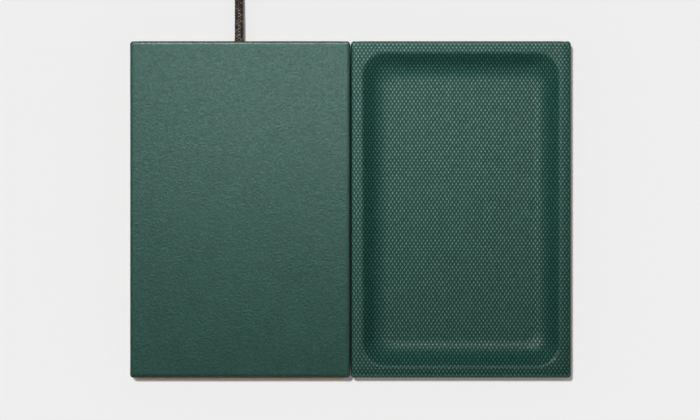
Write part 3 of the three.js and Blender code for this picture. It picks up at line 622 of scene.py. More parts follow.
# Colour, roughness and share of metal of each plain skin.
SKINS = {
    "housing_plastic": ((0.014, 0.015, 0.016), 0.55, 0.0),
    "carrier_plastic": ((0.74, 0.72, 0.66), 0.5, 0.0),
    "ferrite": ((0.045, 0.045, 0.048), 0.65, 0.0),
    "copper": ((0.56, 0.2, 0.075), 0.32, 1.0),
    "chip_plastic": ((0.012, 0.012, 0.012), 0.5, 0.0),
    "capacitor_ceramic": ((0.26, 0.17, 0.1), 0.45, 0.0),
    "screw_steel": ((0.55, 0.56, 0.58), 0.3, 1.0),
    "magnet_nickel": ((0.6, 0.59, 0.56), 0.22, 1.0),
    "grommet_rubber": ((0.12, 0.05, 0.026), 0.75, 0.0),
    "wire_red": ((0.36, 0.018, 0.014), 0.5, 0.0),
    "wire_black": ((0.012, 0.012, 0.012), 0.5, 0.0),
    "plug_plastic": ((0.016, 0.016, 0.017), 0.5, 0.0),
    "plug_steel": ((0.62, 0.63, 0.65), 0.26, 1.0),
    "plug_insulator": ((0.78, 0.76, 0.7), 0.5, 0.0),
}


def slot_material(slot):
    """The finish of one of the record's slots, made the first time that it is asked for."""
    made = bpy.data.materials.get("finish_" + slot)
    if made is not None:
        return made
    builders = {
        "leather_smooth": lambda: leather_material("leather_smooth", False),
        "tie_leather": lambda: leather_material("tie_leather", False),
        "leather_embossed": lambda: leather_material("leather_embossed", True),
        "board_tan": board_material,
        "suede_tan": suede_material,
        "core_board": fibreboard_material,
        "foam": foam_material,
        "circuit_board": solder_mask_material,
        "cord_braid": braid_material,
    }
    if slot in builders:
        made = builders[slot]()
    else:
        colour, roughness, metallic = SKINS[slot]
        made = skin_material(slot, colour, roughness, metallic)
    made.name = "finish_" + slot
    return made


CORNER_FAN = 8
# Where the painted shade of a turned-down edge starts round the edge, the turn over which it grows, and the
# edge radii down the side over which it fades.
TURN_START = 0.5
TURN_SPAN = 0.7
TURN_REACH = 3


def border_fan(number):
    """The point numbers round a grid's border, counter-clockwise, with the direction that each one faces and
    whether it repeats a corner, whose repeats fan out from one side's direction to the next."""
    borders = [number[0], number[:, -1], number[-1, ::-1], number[::-1, 0]]
    turns = [-np.pi / 2, 0.0, np.pi / 2, np.pi]
    fan = np.arange(1, CORNER_FAN) * np.pi / 2 / CORNER_FAN
    loop = np.concatenate([np.concatenate([b, np.full(CORNER_FAN - 1, b[-1])]) for b in borders])
    angle = np.concatenate([np.concatenate([np.full(len(b), t), t + fan]) for b, t in zip(borders, turns)])
    is_fan = np.concatenate([np.arange(len(b) + CORNER_FAN - 1) >= len(b) for b in borders])
    return loop, np.stack([np.cos(angle), np.sin(angle)], -1), is_fan


def wrapped_sheet(low, high, columns, rows, sink, relief, crest, lining):
    """A leather sheet wrapped over a block. Its top is a grid of heights, the block's top less the sink,
    moved along its own normal by the relief. A strip goes on from the grid's border: flat to the edge, a
    quarter round over it and down the side, with a fan of directions at each corner. The strip starts as low
    as the border has sunk and regains that height towards its foot. The relief is read at the unrolled place
    and fades to nothing at the corners. The lining then turns in under the sheet."""
    look = settings("leather")
    corner, edge = look.corner_radius, look.edge_radius
    middle = (low + high) / 2
    half = (high - low)[:2] / 2 - corner
    x = np.linspace(-half[0], half[0], columns + 1)
    y = np.linspace(-half[1], half[1], rows + 1)
    grid_x, grid_y = np.meshgrid(x, y)
    height = high[2] - sink(grid_x, grid_y)
    slope_y, slope_x = np.gradient(height, y, x)
    normal = np.stack([-slope_x, -slope_y, np.ones_like(height)], -1)
    normal /= np.linalg.norm(normal, axis=-1, keepdims=True)
    lift, raised = relief(grid_x, grid_y)
    grid = np.stack([grid_x, grid_y, height], -1) + normal * lift[..., None]
    number = np.arange(grid_x.size).reshape(grid_x.shape)
    top = two_triangles(number[:-1, :-1], number[:-1, 1:], number[1:, 1:], number[1:, :-1])

    loop, out, is_fan = border_fan(number)
    start = np.stack([grid_x.ravel()[loop], grid_y.ravel()[loop]], -1)
    to_corner = np.abs(np.abs(start) - half).max(1)
    fade = np.where(is_fan, 0.0, np.clip(to_corner / corner, 0, 1))
    flat = corner - edge
    bend = edge * np.pi / 2
    length = flat + bend + (high[2] - edge - low[2])
    spacing = x[1] - x[0]
    s = np.linspace(0, length, int(round(length / spacing)) + 1)[1:]
    lean = np.clip((s - flat) / edge, 0, np.pi / 2)
    reach = np.minimum(s, flat) + edge * np.sin(lean)
    fall = high[2] - edge * (1 - np.cos(lean)) - np.maximum(s - flat - bend, 0)
    brink = start[None] + out[None] * np.minimum(s, flat)[:, None, None]
    sunk = np.clip((length - s) / (length - flat), 0, 1)[:, None] * sink(brink[..., 0], brink[..., 1])
    unrolled = start[None] + out[None] * s[:, None, None]
    side_lift, side_raised = relief(unrolled[..., 0], unrolled[..., 1])
    side_lift = side_lift * fade
    across = reach[:, None] + np.sin(lean)[:, None] * side_lift
    upright = fall[:, None] - sunk + np.cos(lean)[:, None] * side_lift
    side = np.concatenate([start[None] + out[None] * across[..., None], upright[..., None]], -1)

    inner = corner - look.thickness
    turned_in = np.stack([
        np.concatenate([start + out * inner, np.full((len(start), 1), z)], 1)
        for z in (low[2], high[2] - look.thickness)])
    border, column_of = np.unique(loop, return_inverse=True)
    ring = np.stack([grid_x.ravel()[border], grid_y.ravel()[border]], -1)
    inside = np.stack([
        np.concatenate([ring * (1 - inset / half), np.full((len(ring), 1), z)], 1) for inset, z in lining])
    parts = [grid.reshape(-1, 3), side.reshape(-1, 3), turned_in.reshape(-1, 3), inside.reshape(-1, 3),
             [[0.0, 0.0, lining[-1][1]]]]
    points = np.concatenate(parts)
    offsets = np.cumsum([0] + [len(p) for p in parts])
    width = len(loop)
    outer_rows = offsets[1] + np.arange((len(s) + 2) * width).reshape(-1, width)
    inner_rows = offsets[3] + np.arange(len(lining))[:, None] * len(border) + column_of[None]
    pole = np.full((1, width), offsets[4])
    rest = strip_triangles(np.concatenate([loop[None], outer_rows, inner_rows, pole]))

    hidden = len(points) - offsets[2]
    rounding = np.broadcast_to(np.sin(2 * lean)[:, None], side_lift.shape)
    # This mask of the turned-down edge starts part way round the edge and fades down the side; the material
    # paints shade with it.
    turned_shade = np.clip((lean - TURN_START) / TURN_SPAN, 0, 1)
    turned_shade = turned_shade * np.clip(1 - (s - flat - bend) / (TURN_REACH * edge), 0, 1)
    turned_shade = np.broadcast_to(turned_shade[:, None], side_lift.shape)
    attributes = {
        "turned_shade": np.concatenate([np.zeros(grid_x.size), turned_shade.ravel(), np.zeros(hidden)]),
        "steep": np.concatenate([1 - normal[..., 2].ravel(), np.zeros(turned_shade.size + hidden)]),
        "raised": np.concatenate([raised.ravel(), side_raised.ravel(), np.zeros(hidden)]),
        "crest": np.concatenate([crest(grid_x, grid_y).ravel(), rounding.ravel(), np.zeros(hidden)]),
    }
    points[:, :2] += middle[:2]
    return points, np.concatenate([top, rest]), attributes


def level(x, y):
    """Nothing, all over."""
    return np.zeros_like(x)


SLACK_DEPTH = 0.012 * MM
WALL_POINTS = 60
HALVINGS = 32
DIAMOND_FLATNESS = 0.45


def slack(x, y):
    """Slow waves a few hundredths of a millimetre deep, as leather over foam has: crossed sines."""
    waves = (np.sin(x / 0.011 + 1.3) * np.sin(y / 0.017) + np.sin((x + y) / 0.023)
             + np.sin((x - 2 * y) / 0.031 + 2.0))
    return SLACK_DEPTH * (waves - 3.0), np.ones_like(x)


def dish_wall():
    """The dish wall in section as insets and drops: a round over the lip, a straight slope, a round into the
    floor."""
    look = settings("leather")
    depth = LINER_HIGH[2] - DISH_FLOOR
    rounds = look.lip_radius + look.floor_radius
    slope_drop = depth - rounds * (1 - np.cos(look.wall_lean))
    run = rounds * np.sin(look.wall_lean) + slope_drop / np.tan(look.wall_lean)
    lip = np.linspace(0, look.wall_lean, WALL_POINTS)
    toe = lip[::-1]
    insets = np.concatenate([look.lip_radius * np.sin(lip), run - look.floor_radius * np.sin(toe)])
    drops = np.concatenate([
        look.lip_radius * (1 - np.cos(lip)), depth - look.floor_radius * (1 - np.cos(toe))])
    return insets, drops


def dish_inset(x, y, half, run):
    """How far inside the lip a point lies, on the rounded rectangles that shrink from the lip to the floor
    while their corners tighten. The ring through each point is found by halving."""
    look = settings("leather")
    lip = half + look.corner_radius - look.rim_width
    near, far = np.zeros_like(x), np.full_like(x, run)
    for _ in range(HALVINGS):
        inset = (near + far) / 2
        radius = look.lip_corner + (look.floor_corner - look.lip_corner) * inset / run
        over_x = np.abs(x) - (lip[0] - inset - radius)
        over_y = np.abs(y) - (lip[1] - inset - radius)
        outside = np.hypot(np.maximum(over_x, 0), np.maximum(over_y, 0))
        within = outside + np.minimum(np.maximum(over_x, over_y), 0) < radius
        near, far = np.where(within, inset, near), np.where(within, far, inset)
    return near


def diamonds(x, y, width, length, depth):
    """Raised diamonds parted by two sets of slanting grooves: the product of two sines along the slants."""
    ripple = np.abs(np.sin(np.pi * (x / width + y / length)) * np.sin(np.pi * (x / width - y / length)))
    raised = ripple ** DIAMOND_FLATNESS
    return depth * (raised - 1), raised


ROUTE_LEAD_MM = [
    (-0.5, 0.3, 7.4), (-0.5, 4, 7.4), (-0.5, 8, 7.1), (-0.5, 12, 6.7), (-0.5, 16, 6.1), (-0.5, 20, 5.4),
    (-0.5, 24, 4.6), (-0.5, 28, 3.9), (-0.5, 32, 3.3), (-0.4, 36, 2.9), (-0.25, 40, 2.65), (-0.1, 44, 2.6),
    (0, 49, 2.8), (0, 53, 3.2), (0, 58, 3.35)]
ROUTE_TAIL_MM = [
    (0.3, 0, 8.3), (4, 0, 8.3), (8, 0, 8.0), (12, 0, 7.2), (16, 0, 5.9), (20, 0, 4.6), (24, 0, 3.5),
    (28, 0, 2.9), (32, 0, 2.75), (36, 0, 3.1), (40, 0, 3.6), (44, 0, 3.95), (48, 0, 4.0), (52, 0, 4.0)]
ROUTE_STEPS = 12
COIL_TURNS = 7.25
COIL_RADIUS_MM = 33.0
COIL_PITCH_MM = 4.95
COIL_CLIMB_TURNS = 0.5
COIL_LEAD_MM = 0.3
COIL_RUN_MM = 4.5
COIL_STEPS_PER_TURN = 96


def smooth_route(points):
    """A curve through points: between each two, a cubic whose ends take half the step across their
    neighbours."""
    points = np.asarray(points, float)
    padded = np.concatenate([2 * points[:1] - points[1:2], points, 2 * points[-1:] - points[-2:-1]])
    before, start, end, after = (padded[i:len(padded) - 3 + i, None] for i in range(4))
    t = np.linspace(0, 1, ROUTE_STEPS, endpoint=False)[None, :, None]
    pull = (end - before) / 2
    push = (after - start) / 2
    curve = (start * (2 * t ** 3 - 3 * t ** 2 + 1) + pull * (t ** 3 - 2 * t ** 2 + t)
             + end * (3 * t ** 2 - 2 * t ** 3) + push * (t ** 3 - t ** 2))
    return np.concatenate([curve.reshape(-1, 3), points[-1:]])


def coil_route(start):
    """The put-away coil: clockwise, inwards on the table, up one layer within half a turn, and outwards
    again."""
    per_layer = COIL_TURNS / 2
    turns = np.linspace(0, COIL_TURNS, int(COIL_TURNS * COIL_STEPS_PER_TURN) + 1)
    inner = COIL_RADIUS_MM - COIL_PITCH_MM * per_layer
    radius = inner + COIL_PITCH_MM * np.abs(per_layer - turns)
    climb = np.clip((turns - per_layer) / COIL_CLIMB_TURNS + 0.5, 0, 1)
    climb = climb * climb * (3 - 2 * climb)
    angle = np.pi - 2 * np.pi * turns
    centre = start + [COIL_RADIUS_MM, COIL_RUN_MM, 0]
    return centre + np.stack([radius * np.cos(angle), radius * np.sin(angle), COIL_PITCH_MM * climb], -1)


def cord_route():
    """The cord's centreline in metres: the lead, the coil and the tail on one line."""
    lead = smooth_route(ROUTE_LEAD_MM)
    coil = coil_route(lead[-1] + [0, COIL_LEAD_MM, 0])
    coil_end = coil[-1] + [COIL_RUN_MM, 0, 0]
    tail = smooth_route(np.asarray(ROUTE_TAIL_MM) + [coil_end[0], coil_end[1], 0])
    rear = [(COVER_LOW[0] + COVER_HIGH[0]) / 2, COVER_HIGH[1], 0]
    return np.concatenate([lead, coil, tail]) * MM + rear


def evenly(points, spacing):
    """Points at equal steps along a line."""
    length = np.concatenate([[0], np.cumsum(np.linalg.norm(np.diff(points, axis=0), axis=1))])
    place = np.linspace(0, length[-1], int(round(length[-1] / spacing)) + 1)
    return np.stack([np.interp(place, length, points[:, k]) for k in range(3)], -1)


SENSOR_WIDTH_MM = 36.0
CAMERA_RANGE = 50.0
FLOOR_RADIUS = 40.0
FLOOR_SIDES = 96
FLOOR_DROP = 0.02 * MM
SHADOW_REACH = 12.0 * MM
FLOOR_WINDOW = {"angle": 0.07, "lean": (-0.147, -0.104)}
BOARD_WINDOW = {"angle": 0.3, "lean": (0.7, -0.2)}
OVERHEAD = {"size": (0.4, 0.16), "place": (-0.045, 0.12, 0.296)}
SHEEN = {"size": (0.3, 0.2), "place": (0.015, 0.115, 0.346)}
GLINT = {"size": (0.9, 0.9), "place": (-0.7, 0.72, 1.67)}
REAR = {"size": (0.3, 0.3), "place": (-0.055, 0.72, 0.75), "tilt": -0.8}


class CHARGINGTRAY_OT_stage(bpy.types.Operator):
    """Camera straight above the tray, lamps over its rear edge, even room light and pale floor"""

    bl_idname = "chargingtray.stage"
    bl_label = "Stage"

    def execute(self, context):
        look = settings("stage")
        scene = context.scene
        scene.view_settings.view_transform = "Standard"
        self.camera(scene, look)
        floor = self.floor(scene, look)
        self.room_light(scene, look)
        floor_window = self.window(scene, "floor_window", look.floor_power, **FLOOR_WINDOW)
        self.limit(floor_window, [floor], "INCLUDE")
        board_window = self.window(scene, "board_window", look.board_power, **BOARD_WINDOW)
        self.limit(board_window, [], "INCLUDE")
        overhead = self.softbox(scene, "overhead", look.overhead_power, **OVERHEAD)
        overhead.visible_glossy = False
        overhead.data.cycles.use_multiple_importance_sampling = False
        self.limit(overhead, [floor], "EXCLUDE")
        sheen = self.softbox(scene, "sheen", look.sheen_power, **SHEEN)
        glint = self.softbox(scene, "glint", look.glint_power, **GLINT)
        rear = self.softbox(scene, "rear", look.rear_power, **REAR)
        self.limit(rear, [], "INCLUDE")
        for lamp in (sheen, glint, rear):
            lamp.visible_diffuse = False
        return {"FINISHED"}

    def camera(self, scene, look):
        """A long lens that takes in the frame's width at the leather."""
        camera = bpy.data.cameras.new("camera")
        camera.sensor_width = SENSOR_WIDTH_MM
        camera.lens = camera.sensor_width * look.camera_height / look.frame_width
        camera.clip_end = CAMERA_RANGE
        shot = bpy.data.objects.new("camera", camera)
        shot.location = (*look.camera_place, COVER_HIGH[2] + look.camera_height)
        scene.collection.objects.link(shot)
        scene.camera = shot

    def window(self, scene, name, power, angle, lean):
        """Light from far off that spans an angle, leans from upright and shows no gloss of its own."""
        lamp = bpy.data.lights.new(name, "SUN")
        lamp.energy = power
        lamp.angle = angle
        window = bpy.data.objects.new(name, lamp)
        window.rotation_euler = (*lean, 0)
        window.visible_glossy = False
        scene.collection.objects.link(window)
        return window

    def softbox(self, scene, name, power, size, place, tilt=0):
        """A flat lamp that faces down, or tilts from that, and that a camera doesn't see."""
        lamp = bpy.data.lights.new(name, "AREA")
        lamp.shape = "RECTANGLE"
        lamp.size, lamp.size_y = size
        lamp.energy = power
        softbox = bpy.data.objects.new(name, lamp)
        softbox.location = place
        softbox.rotation_euler = (tilt, 0, 0)
        softbox.visible_camera = False
        scene.collection.objects.link(softbox)
        return softbox

    def limit(self, lamp, pieces, state):
        """Keeps a lamp to some pieces alone, or off them, through a collection that later pieces can join."""
        group = bpy.data.collections.new(lamp.name + "_receivers")
        lamp.light_linking.receiver_collection = group
        for number, piece in enumerate(pieces):
            group.objects.link(piece)
            group.collection_objects[number].light_linking.link_state = state

    def room_light(self, scene, look):
        """Even light from all round."""
        world = bpy.data.worlds.new("room")
        world.use_nodes = True
        light = world.node_tree.nodes["Background"]
        fill(world.node_tree, light, {"Color": (1, 1, 1, 1), "Strength": look.world_light})
        scene.world = world

    def floor(self, scene, look):
        """A wide pale disc under the tray that takes its shadow: a ring of points round a middle one."""
        turn = full_turn(FLOOR_SIDES)
        ring = np.stack([np.cos(turn), np.sin(turn), np.zeros_like(turn)], -1)
        points = np.concatenate([ring * FLOOR_RADIUS, [[0, 0, 0]]]) - [0, 0, FLOOR_DROP]
        number = np.arange(FLOOR_SIDES)
        faces = np.stack([number, np.roll(number, -1), np.full(FLOOR_SIDES, FLOOR_SIDES)], -1)
        mesh = bpy.data.meshes.new("floor")
        mesh.from_pydata(points.tolist(), [], faces.tolist())
        disc = bpy.data.objects.new("floor", mesh)
        scene.collection.objects.link(disc)
        mesh.materials.append(self.floor_material(look))
        return disc

    def floor_material(self, look):
        """Pale matt paint. A share of its colour glows, so that the shadow stays light but not in narrow
        gaps, and only where a camera, gloss or glass sees it."""
        material, tree, shader, place = start_material("floor")
        tree.nodes.remove(shader)
        grain = grouped(tree, "mottle", place, Scale=500.0, Contrast=0.5)["Share"]
        tone = mixed(tree, grain, opaque(look.floor_colour, 0.99), opaque(look.floor_colour, 1.01))
        lit = new_node(tree, "ShaderNodeBsdfDiffuse", {"Color": tone}).outputs[0]
        glow = new_node(tree, "ShaderNodeEmission", {"Color": tone}).outputs[0]
        path = tree.nodes.new("ShaderNodeLightPath").outputs
        mirrored = maths(tree, "MAXIMUM", path["Is Glossy Ray"], path["Is Transmission Ray"])
        seen = maths(tree, "MAXIMUM", path["Is Camera Ray"], mirrored)
        openness = new_node(tree, "ShaderNodeAmbientOcclusion", {"Distance": SHADOW_REACH}).outputs["AO"]
        share = product(tree, product(tree, seen, openness), look.floor_glow)
        surface = new_node(tree, "ShaderNodeMixShader", {0: share, 1: lit, 2: glow}).outputs[0]
        fill(tree, tree.nodes["Material Output"], {"Surface": surface})
        return material


PLUG_EDGE = 0.9 * MM
PLUG_EDGE_POINTS = 6
PLUG_WAIST = 0.35 * MM
PLUG_BODY_POINTS = 24
PLUG_ARC_STEPS = 8
NEARLY_ROUND = 0.999
RELIEF_WALL = 0.7 * MM
RELIEF_GROOVE = 0.42 * MM
RELIEF_POINTS = 61
SLEEVE_CORNER = 0.7 * MM
SLEEVE_OVERLAP = 1.0 * MM
SLEEVE_WALL = 0.4 * MM
SLEEVE_POINTS = 33
WINDOW_NEAR = 1.4 * MM
WINDOW_FAR = 3.9 * MM
WINDOW_SHIFT = 0.4 * MM
WINDOW_HALF = 1.3 * MM
CONTACT_PLACES_MM = (-3.5, -1.25, 1.25, 3.5)
CONTACT_HALF = 0.5 * MM
CONTACT_REAR_GAP = 1.5 * MM
CONTACT_FRONT_GAP = 1.2 * MM
CONTACT_PROUD = 0.12 * MM
CONTACT_SUNK = 0.05 * MM
CONTACT_CORNER = 0.4 * MM
CONTACT_EDGE = 0.06 * MM


class CHARGINGTRAY_OT_plug(bpy.types.Operator):
    """Moulded plug with a ribbed strain relief, a steel sleeve with four windows, and its contacts"""

    bl_idname = "chargingtray.plug"
    bl_label = "Plug"

    def execute(self, context):
        self.moulding()
        self.sleeve()
        self.contacts()
        return {"FINISHED"}

    def moulding(self):
        """Rounded rectangles along the plug: a ribbed cone over the cord, then a body with a slight waist."""
        look = settings("cord")
        low, high = node_box("plug_body")
        middle, half = (low + high) / 2, (high - low) / 2
        turn = np.linspace(0, np.pi / 2, PLUG_EDGE_POINTS)
        along = np.linspace(0, look.relief_length, RELIEF_POINTS)
        cone = look.diameter / 2 + RELIEF_WALL * (1 + along / look.relief_length)
        cone = cone - RELIEF_GROOVE * (0.5 - 0.5 * np.cos(2 * np.pi * along / look.relief_rib)) ** 2
        body = np.linspace(look.relief_length + PLUG_EDGE, 2 * half[0] - PLUG_EDGE, PLUG_BODY_POINTS)
        waist = PLUG_WAIST * np.sin(np.pi * (body - body[0]) / (body[-1] - body[0])) ** 2
        rear = body[0] - PLUG_EDGE * np.sin(turn[::-1])
        front = body[-1] + PLUG_EDGE * np.sin(turn)
        rounding = PLUG_EDGE * (1 - np.cos(turn))
        draw = np.concatenate([rounding[::-1], waist[1:-1], rounding])
        place = np.concatenate([along, rear, body[1:-1], front])
        sizes = np.concatenate([
            np.stack([cone, cone, cone], 1),
            np.stack([half[1] - draw, half[2] - draw, np.full_like(draw, look.plug_corner)], 1)])
        outline = np.stack([rounded_ring(y, z, r * NEARLY_ROUND, PLUG_ARC_STEPS)[0] for y, z, r in sizes])
        across = np.broadcast_to(place[:, None, None] + low[0], (*outline.shape[:2], 1))
        points, faces = closed_loft(np.concatenate([across, outline + middle[1:]], -1))
        make_piece("plug_moulding", points, faces, CHARGER, "plug_plastic", ("plug_body",), sharp=True)

    def sleeve(self):
        """A rounded rectangle drawn along the plug, with two windows above and two below, and a sheet's
        thickness."""
        low, high = node_box("plug_shell")
        middle, half = (low + high) / 2, (high - low) / 2
        outline, _ = rounded_ring(half[1], half[2], SLEEVE_CORNER, arc_steps=5, flat_steps=24)
        place = np.linspace(low[0] - SLEEVE_OVERLAP, high[0], SLEEVE_POINTS)
        grid = np.concatenate([
            np.broadcast_to(place[:, None, None], (len(place), len(outline), 1)),
            np.broadcast_to(outline + middle[1:], (len(place), *outline.shape))], -1).reshape(-1, 3)
        quads = tube_quads(len(place), len(outline))
        centre = grid[quads].mean(2) - middle
        off = np.abs(centre[..., 1])
        window = (off > WINDOW_NEAR) & (off < WINDOW_FAR)
        window &= np.abs(centre[..., 0] + WINDOW_SHIFT) < WINDOW_HALF
        used, kept = np.unique(quads[~window], return_inverse=True)
        sleeve = make_piece("plug_sleeve", grid[used], kept.reshape(-1, 4), CHARGER, "plug_steel",
                            ("plug_shell",), sharp=True)
        wall = sleeve.modifiers.new("wall", "SOLIDIFY")
        wall.thickness = SLEEVE_WALL
        wall.offset = -1

    def contacts(self):
        """Four flat strips under the plug's tongue, each a thin rounded slab."""
        low, high = node_box("plug_tongue")
        strips = []
        for off in CONTACT_PLACES_MM:
            middle = (low[1] + high[1]) / 2 + off * MM
            strip_low = np.array([low[0] + CONTACT_REAR_GAP, middle - CONTACT_HALF, low[2] - CONTACT_PROUD])
            strip_high = np.array([high[0] - CONTACT_FRONT_GAP, middle + CONTACT_HALF, low[2] + CONTACT_SUNK])
            strips.append(soft_slab(strip_low, strip_high, CONTACT_CORNER, CONTACT_EDGE))
        counts = np.cumsum([0] + [len(points) for points, _ in strips])
        points = np.concatenate([points for points, _ in strips])
        faces = np.concatenate([faces + first for (_, faces), first in zip(strips, counts)])
        make_piece("plug_contacts", points, faces, CHARGER, "copper", sharp=True)


STRAP_EDGE_SHARE = 0.7


class CHARGINGTRAY_OT_cord_strap(bpy.types.Operator):
    """Leather strap round one side of the coil"""

    bl_idname = "chargingtray.cord_strap"
    bl_label = "Cord strap"

    def execute(self, context):
        look = settings("cord")
        low, high = node_box("cord_tie")
        middle, half = (low + high) / 2, (high - low) / 2
        thin = look.strap_thickness / 2
        loop, angle = rounded_ring(half[0] - thin, half[2] - thin, look.strap_corner - thin,
                                   arc_steps=10, flat_steps=8)
        section, _ = rounded_ring(thin, half[1], STRAP_EDGE_SHARE * thin, arc_steps=4, flat_steps=8)
        out = np.stack([np.cos(angle), np.zeros_like(angle), np.sin(angle)], -1)
        track = np.stack([loop[:, 0], np.zeros(len(loop)), loop[:, 1]], -1) + middle
        rings = track[:, None] + section[None, :, :1] * out[:, None] + section[None, :, 1:] * [0, 1, 0]
        points, faces = closed_torus(rings)
        make_piece("cord_strap", points, faces, CHARGER, "tie_leather", ("cord_tie",))
        return {"FINISHED"}


BEAD_RADIUS_MM = 2.6
BEAD_SWELL_MM = 0.35
BEAD_HALF = 0.4 * MM
BEAD_AROUND = 64
BEAD_SECTION = 20


class CHARGINGTRAY_OT_grommet(bpy.types.Operator):
    """Rubber bead where the cord leaves the leather"""

    bl_idname = "chargingtray.grommet"
    bl_label = "Grommet bead"

    def execute(self, context):
        low, high = node_box("cable_grommet")
        aside = (low[0] + high[0]) / 2 + ROUTE_LEAD_MM[0][0] * MM
        middle = np.array([aside, COVER_HIGH[1], (low[2] + high[2]) / 2])
        turn, spin = full_turn(BEAD_AROUND), full_turn(BEAD_SECTION)
        spoke = np.stack([np.cos(turn), np.zeros_like(turn), np.sin(turn)], -1)
        reach = (BEAD_RADIUS_MM + BEAD_SWELL_MM * np.cos(spin)) * MM
        swell = BEAD_HALF * np.sin(spin)
        rings = middle + reach[None, :, None] * spoke[:, None] + swell[None, :, None] * [0, 1, 0]
        points, faces = closed_torus(rings)
        make_piece("grommet_bead", points, faces, CHARGER, "grommet_rubber", ("cable_grommet",))
        return {"FINISHED"}


SLAB_EDGE = 0.3 * MM
FOAM_CORNER = 1.5 * MM


class CHARGINGTRAY_OT_base_boards(bpy.types.Operator):
    """Tan base board and suede grip pad under each module, with softened edges"""

    bl_idname = "chargingtray.base_boards"
    bl_label = "Base boards and grip pads"

    def execute(self, context):
        corner = settings("leather").base_corner
        lit = bpy.data.collections["board_window_receivers"]
        for prefix, body in (("charger", CHARGER), ("tray", TRAY)):
            node = prefix + "_base_board"
            points, faces = soft_slab(*node_box(node), corner, SLAB_EDGE)
            board = make_piece(prefix + "_tan_board", points, faces, body, "board_tan", (node,), sharp=True)
            lit.objects.link(board)
            node = prefix + "_grip_pad"
            points, faces = soft_slab(*node_box(node), corner / 2, SLAB_EDGE)
            make_piece(prefix + "_suede_pad", points, faces, body, "suede_tan", (node,), sharp=True)
        return {"FINISHED"}


class CHARGINGTRAY_OT_foam_sheet(bpy.types.Operator):
    """Thin foam under the charging module's leather"""

    bl_idname = "chargingtray.foam_sheet"
    bl_label = "Foam sheet"

    def execute(self, context):
        points, faces = soft_slab(*node_box("charger_foam_pad"), FOAM_CORNER, SLAB_EDGE)
        sheet = make_piece("foam_sheet", points, faces, CHARGER, "foam", ("charger_foam_pad",))
        return {"FINISHED"}


POINTS_PER_STRAND = 8
RINGS_PER_CROSSING = 2
BRAID_MIDDLE = 0.7


class CHARGINGTRAY_OT_cord(bpy.types.Operator):
    """Braided cord from the grommet through its put-away coil to the plug"""

    bl_idname = "chargingtray.cord"
    bl_label = "Braided cord"

    def execute(self, context):
        look = settings("cord")
        around = POINTS_PER_STRAND * look.strands_around
        path = evenly(cord_route(), look.strand_length / RINGS_PER_CROSSING)
        along = np.gradient(path, axis=0)
        along /= np.linalg.norm(along, axis=1, keepdims=True)
        side = np.cross([0, 0, 1], along)
        side /= np.linalg.norm(side, axis=1, keepdims=True)
        lift = np.cross(along, side)
        turn = 2 * np.pi * np.arange(around) / around
        u = np.arange(around + 1) / POINTS_PER_STRAND
        v = np.arange(len(path)) / RINGS_PER_CROSSING
        _, raised = diamonds(u[None, :-1], v[:, None], 1.0, 1.0, 1.0)
        radius = look.diameter / 2 + look.strand_relief * (raised - BRAID_MIDDLE)
        spokes = np.cos(turn)[None, :, None] * side[:, None] + np.sin(turn)[None, :, None] * lift[:, None]
        tube = path[:, None] + radius[..., None] * spokes
        points = np.concatenate([tube.reshape(-1, 3), path[[0, -1]]])
        quads = tube_quads(len(path), around).reshape(-1, 4)
        faces = np.concatenate([quads, self.end_caps(len(path), around)])
        row, column = np.indices((len(path) - 1, around))
        corners_u = u[np.stack([column, column + 1, column + 1, column], -1)]
        corners_v = v[np.stack([row, row, row + 1, row + 1], -1)]
        uv = np.stack([corners_u, corners_v], -1).reshape(-1, 2)
        cord = make_piece(
            "braided_cord", points, faces, CHARGER, "cord_braid", ("cord_lead", "cord_coil", "cord_tail"),
            {"raised": np.concatenate([raised.ravel(), [1.0, 1.0]])},
            np.concatenate([uv, np.zeros((4 * around, 2))]))
        return {"FINISHED"}

    def end_caps(self, rings, around):
        """Quads that close both ends, each over two neighbouring wedges to the end's middle."""
        even = np.arange(0, around, 2)
        wedge = np.stack([even, (even + 1) % around, (even + 2) % around], -1)
        first = np.full((len(even), 1), rings * around)
        return np.concatenate([
            np.concatenate([first, wedge[:, ::-1]], 1),
            np.concatenate([first + 1, wedge + (rings - 1) * around], 1)])


COVER_COLUMNS = 132
COVER_ROWS = 204


class CHARGINGTRAY_OT_leather_cover(bpy.types.Operator):
    """Smooth leather over the charging module's top and sides"""

    bl_idname = "chargingtray.leather_cover"
    bl_label = "Leather cover"

    def execute(self, context):
        lining = [(0.0, COVER_HIGH[2] - settings("leather").thickness)]
        points, faces, attributes = wrapped_sheet(
            COVER_LOW, COVER_HIGH, COVER_COLUMNS, COVER_ROWS, level, slack, level, lining)
        cover = make_piece("leather_cover", points, faces, CHARGER, "leather_smooth",
                           ("charger_leather_cover",), attributes)
        bpy.data.collections["rear_receivers"].objects.link(cover)
        return {"FINISHED"}


CELLS_PER_DIAMOND = 4
CREST_INSET = 0.8 * MM
LINING_RIM = 2.3 * MM
LINING_FLOOR = 14.0 * MM


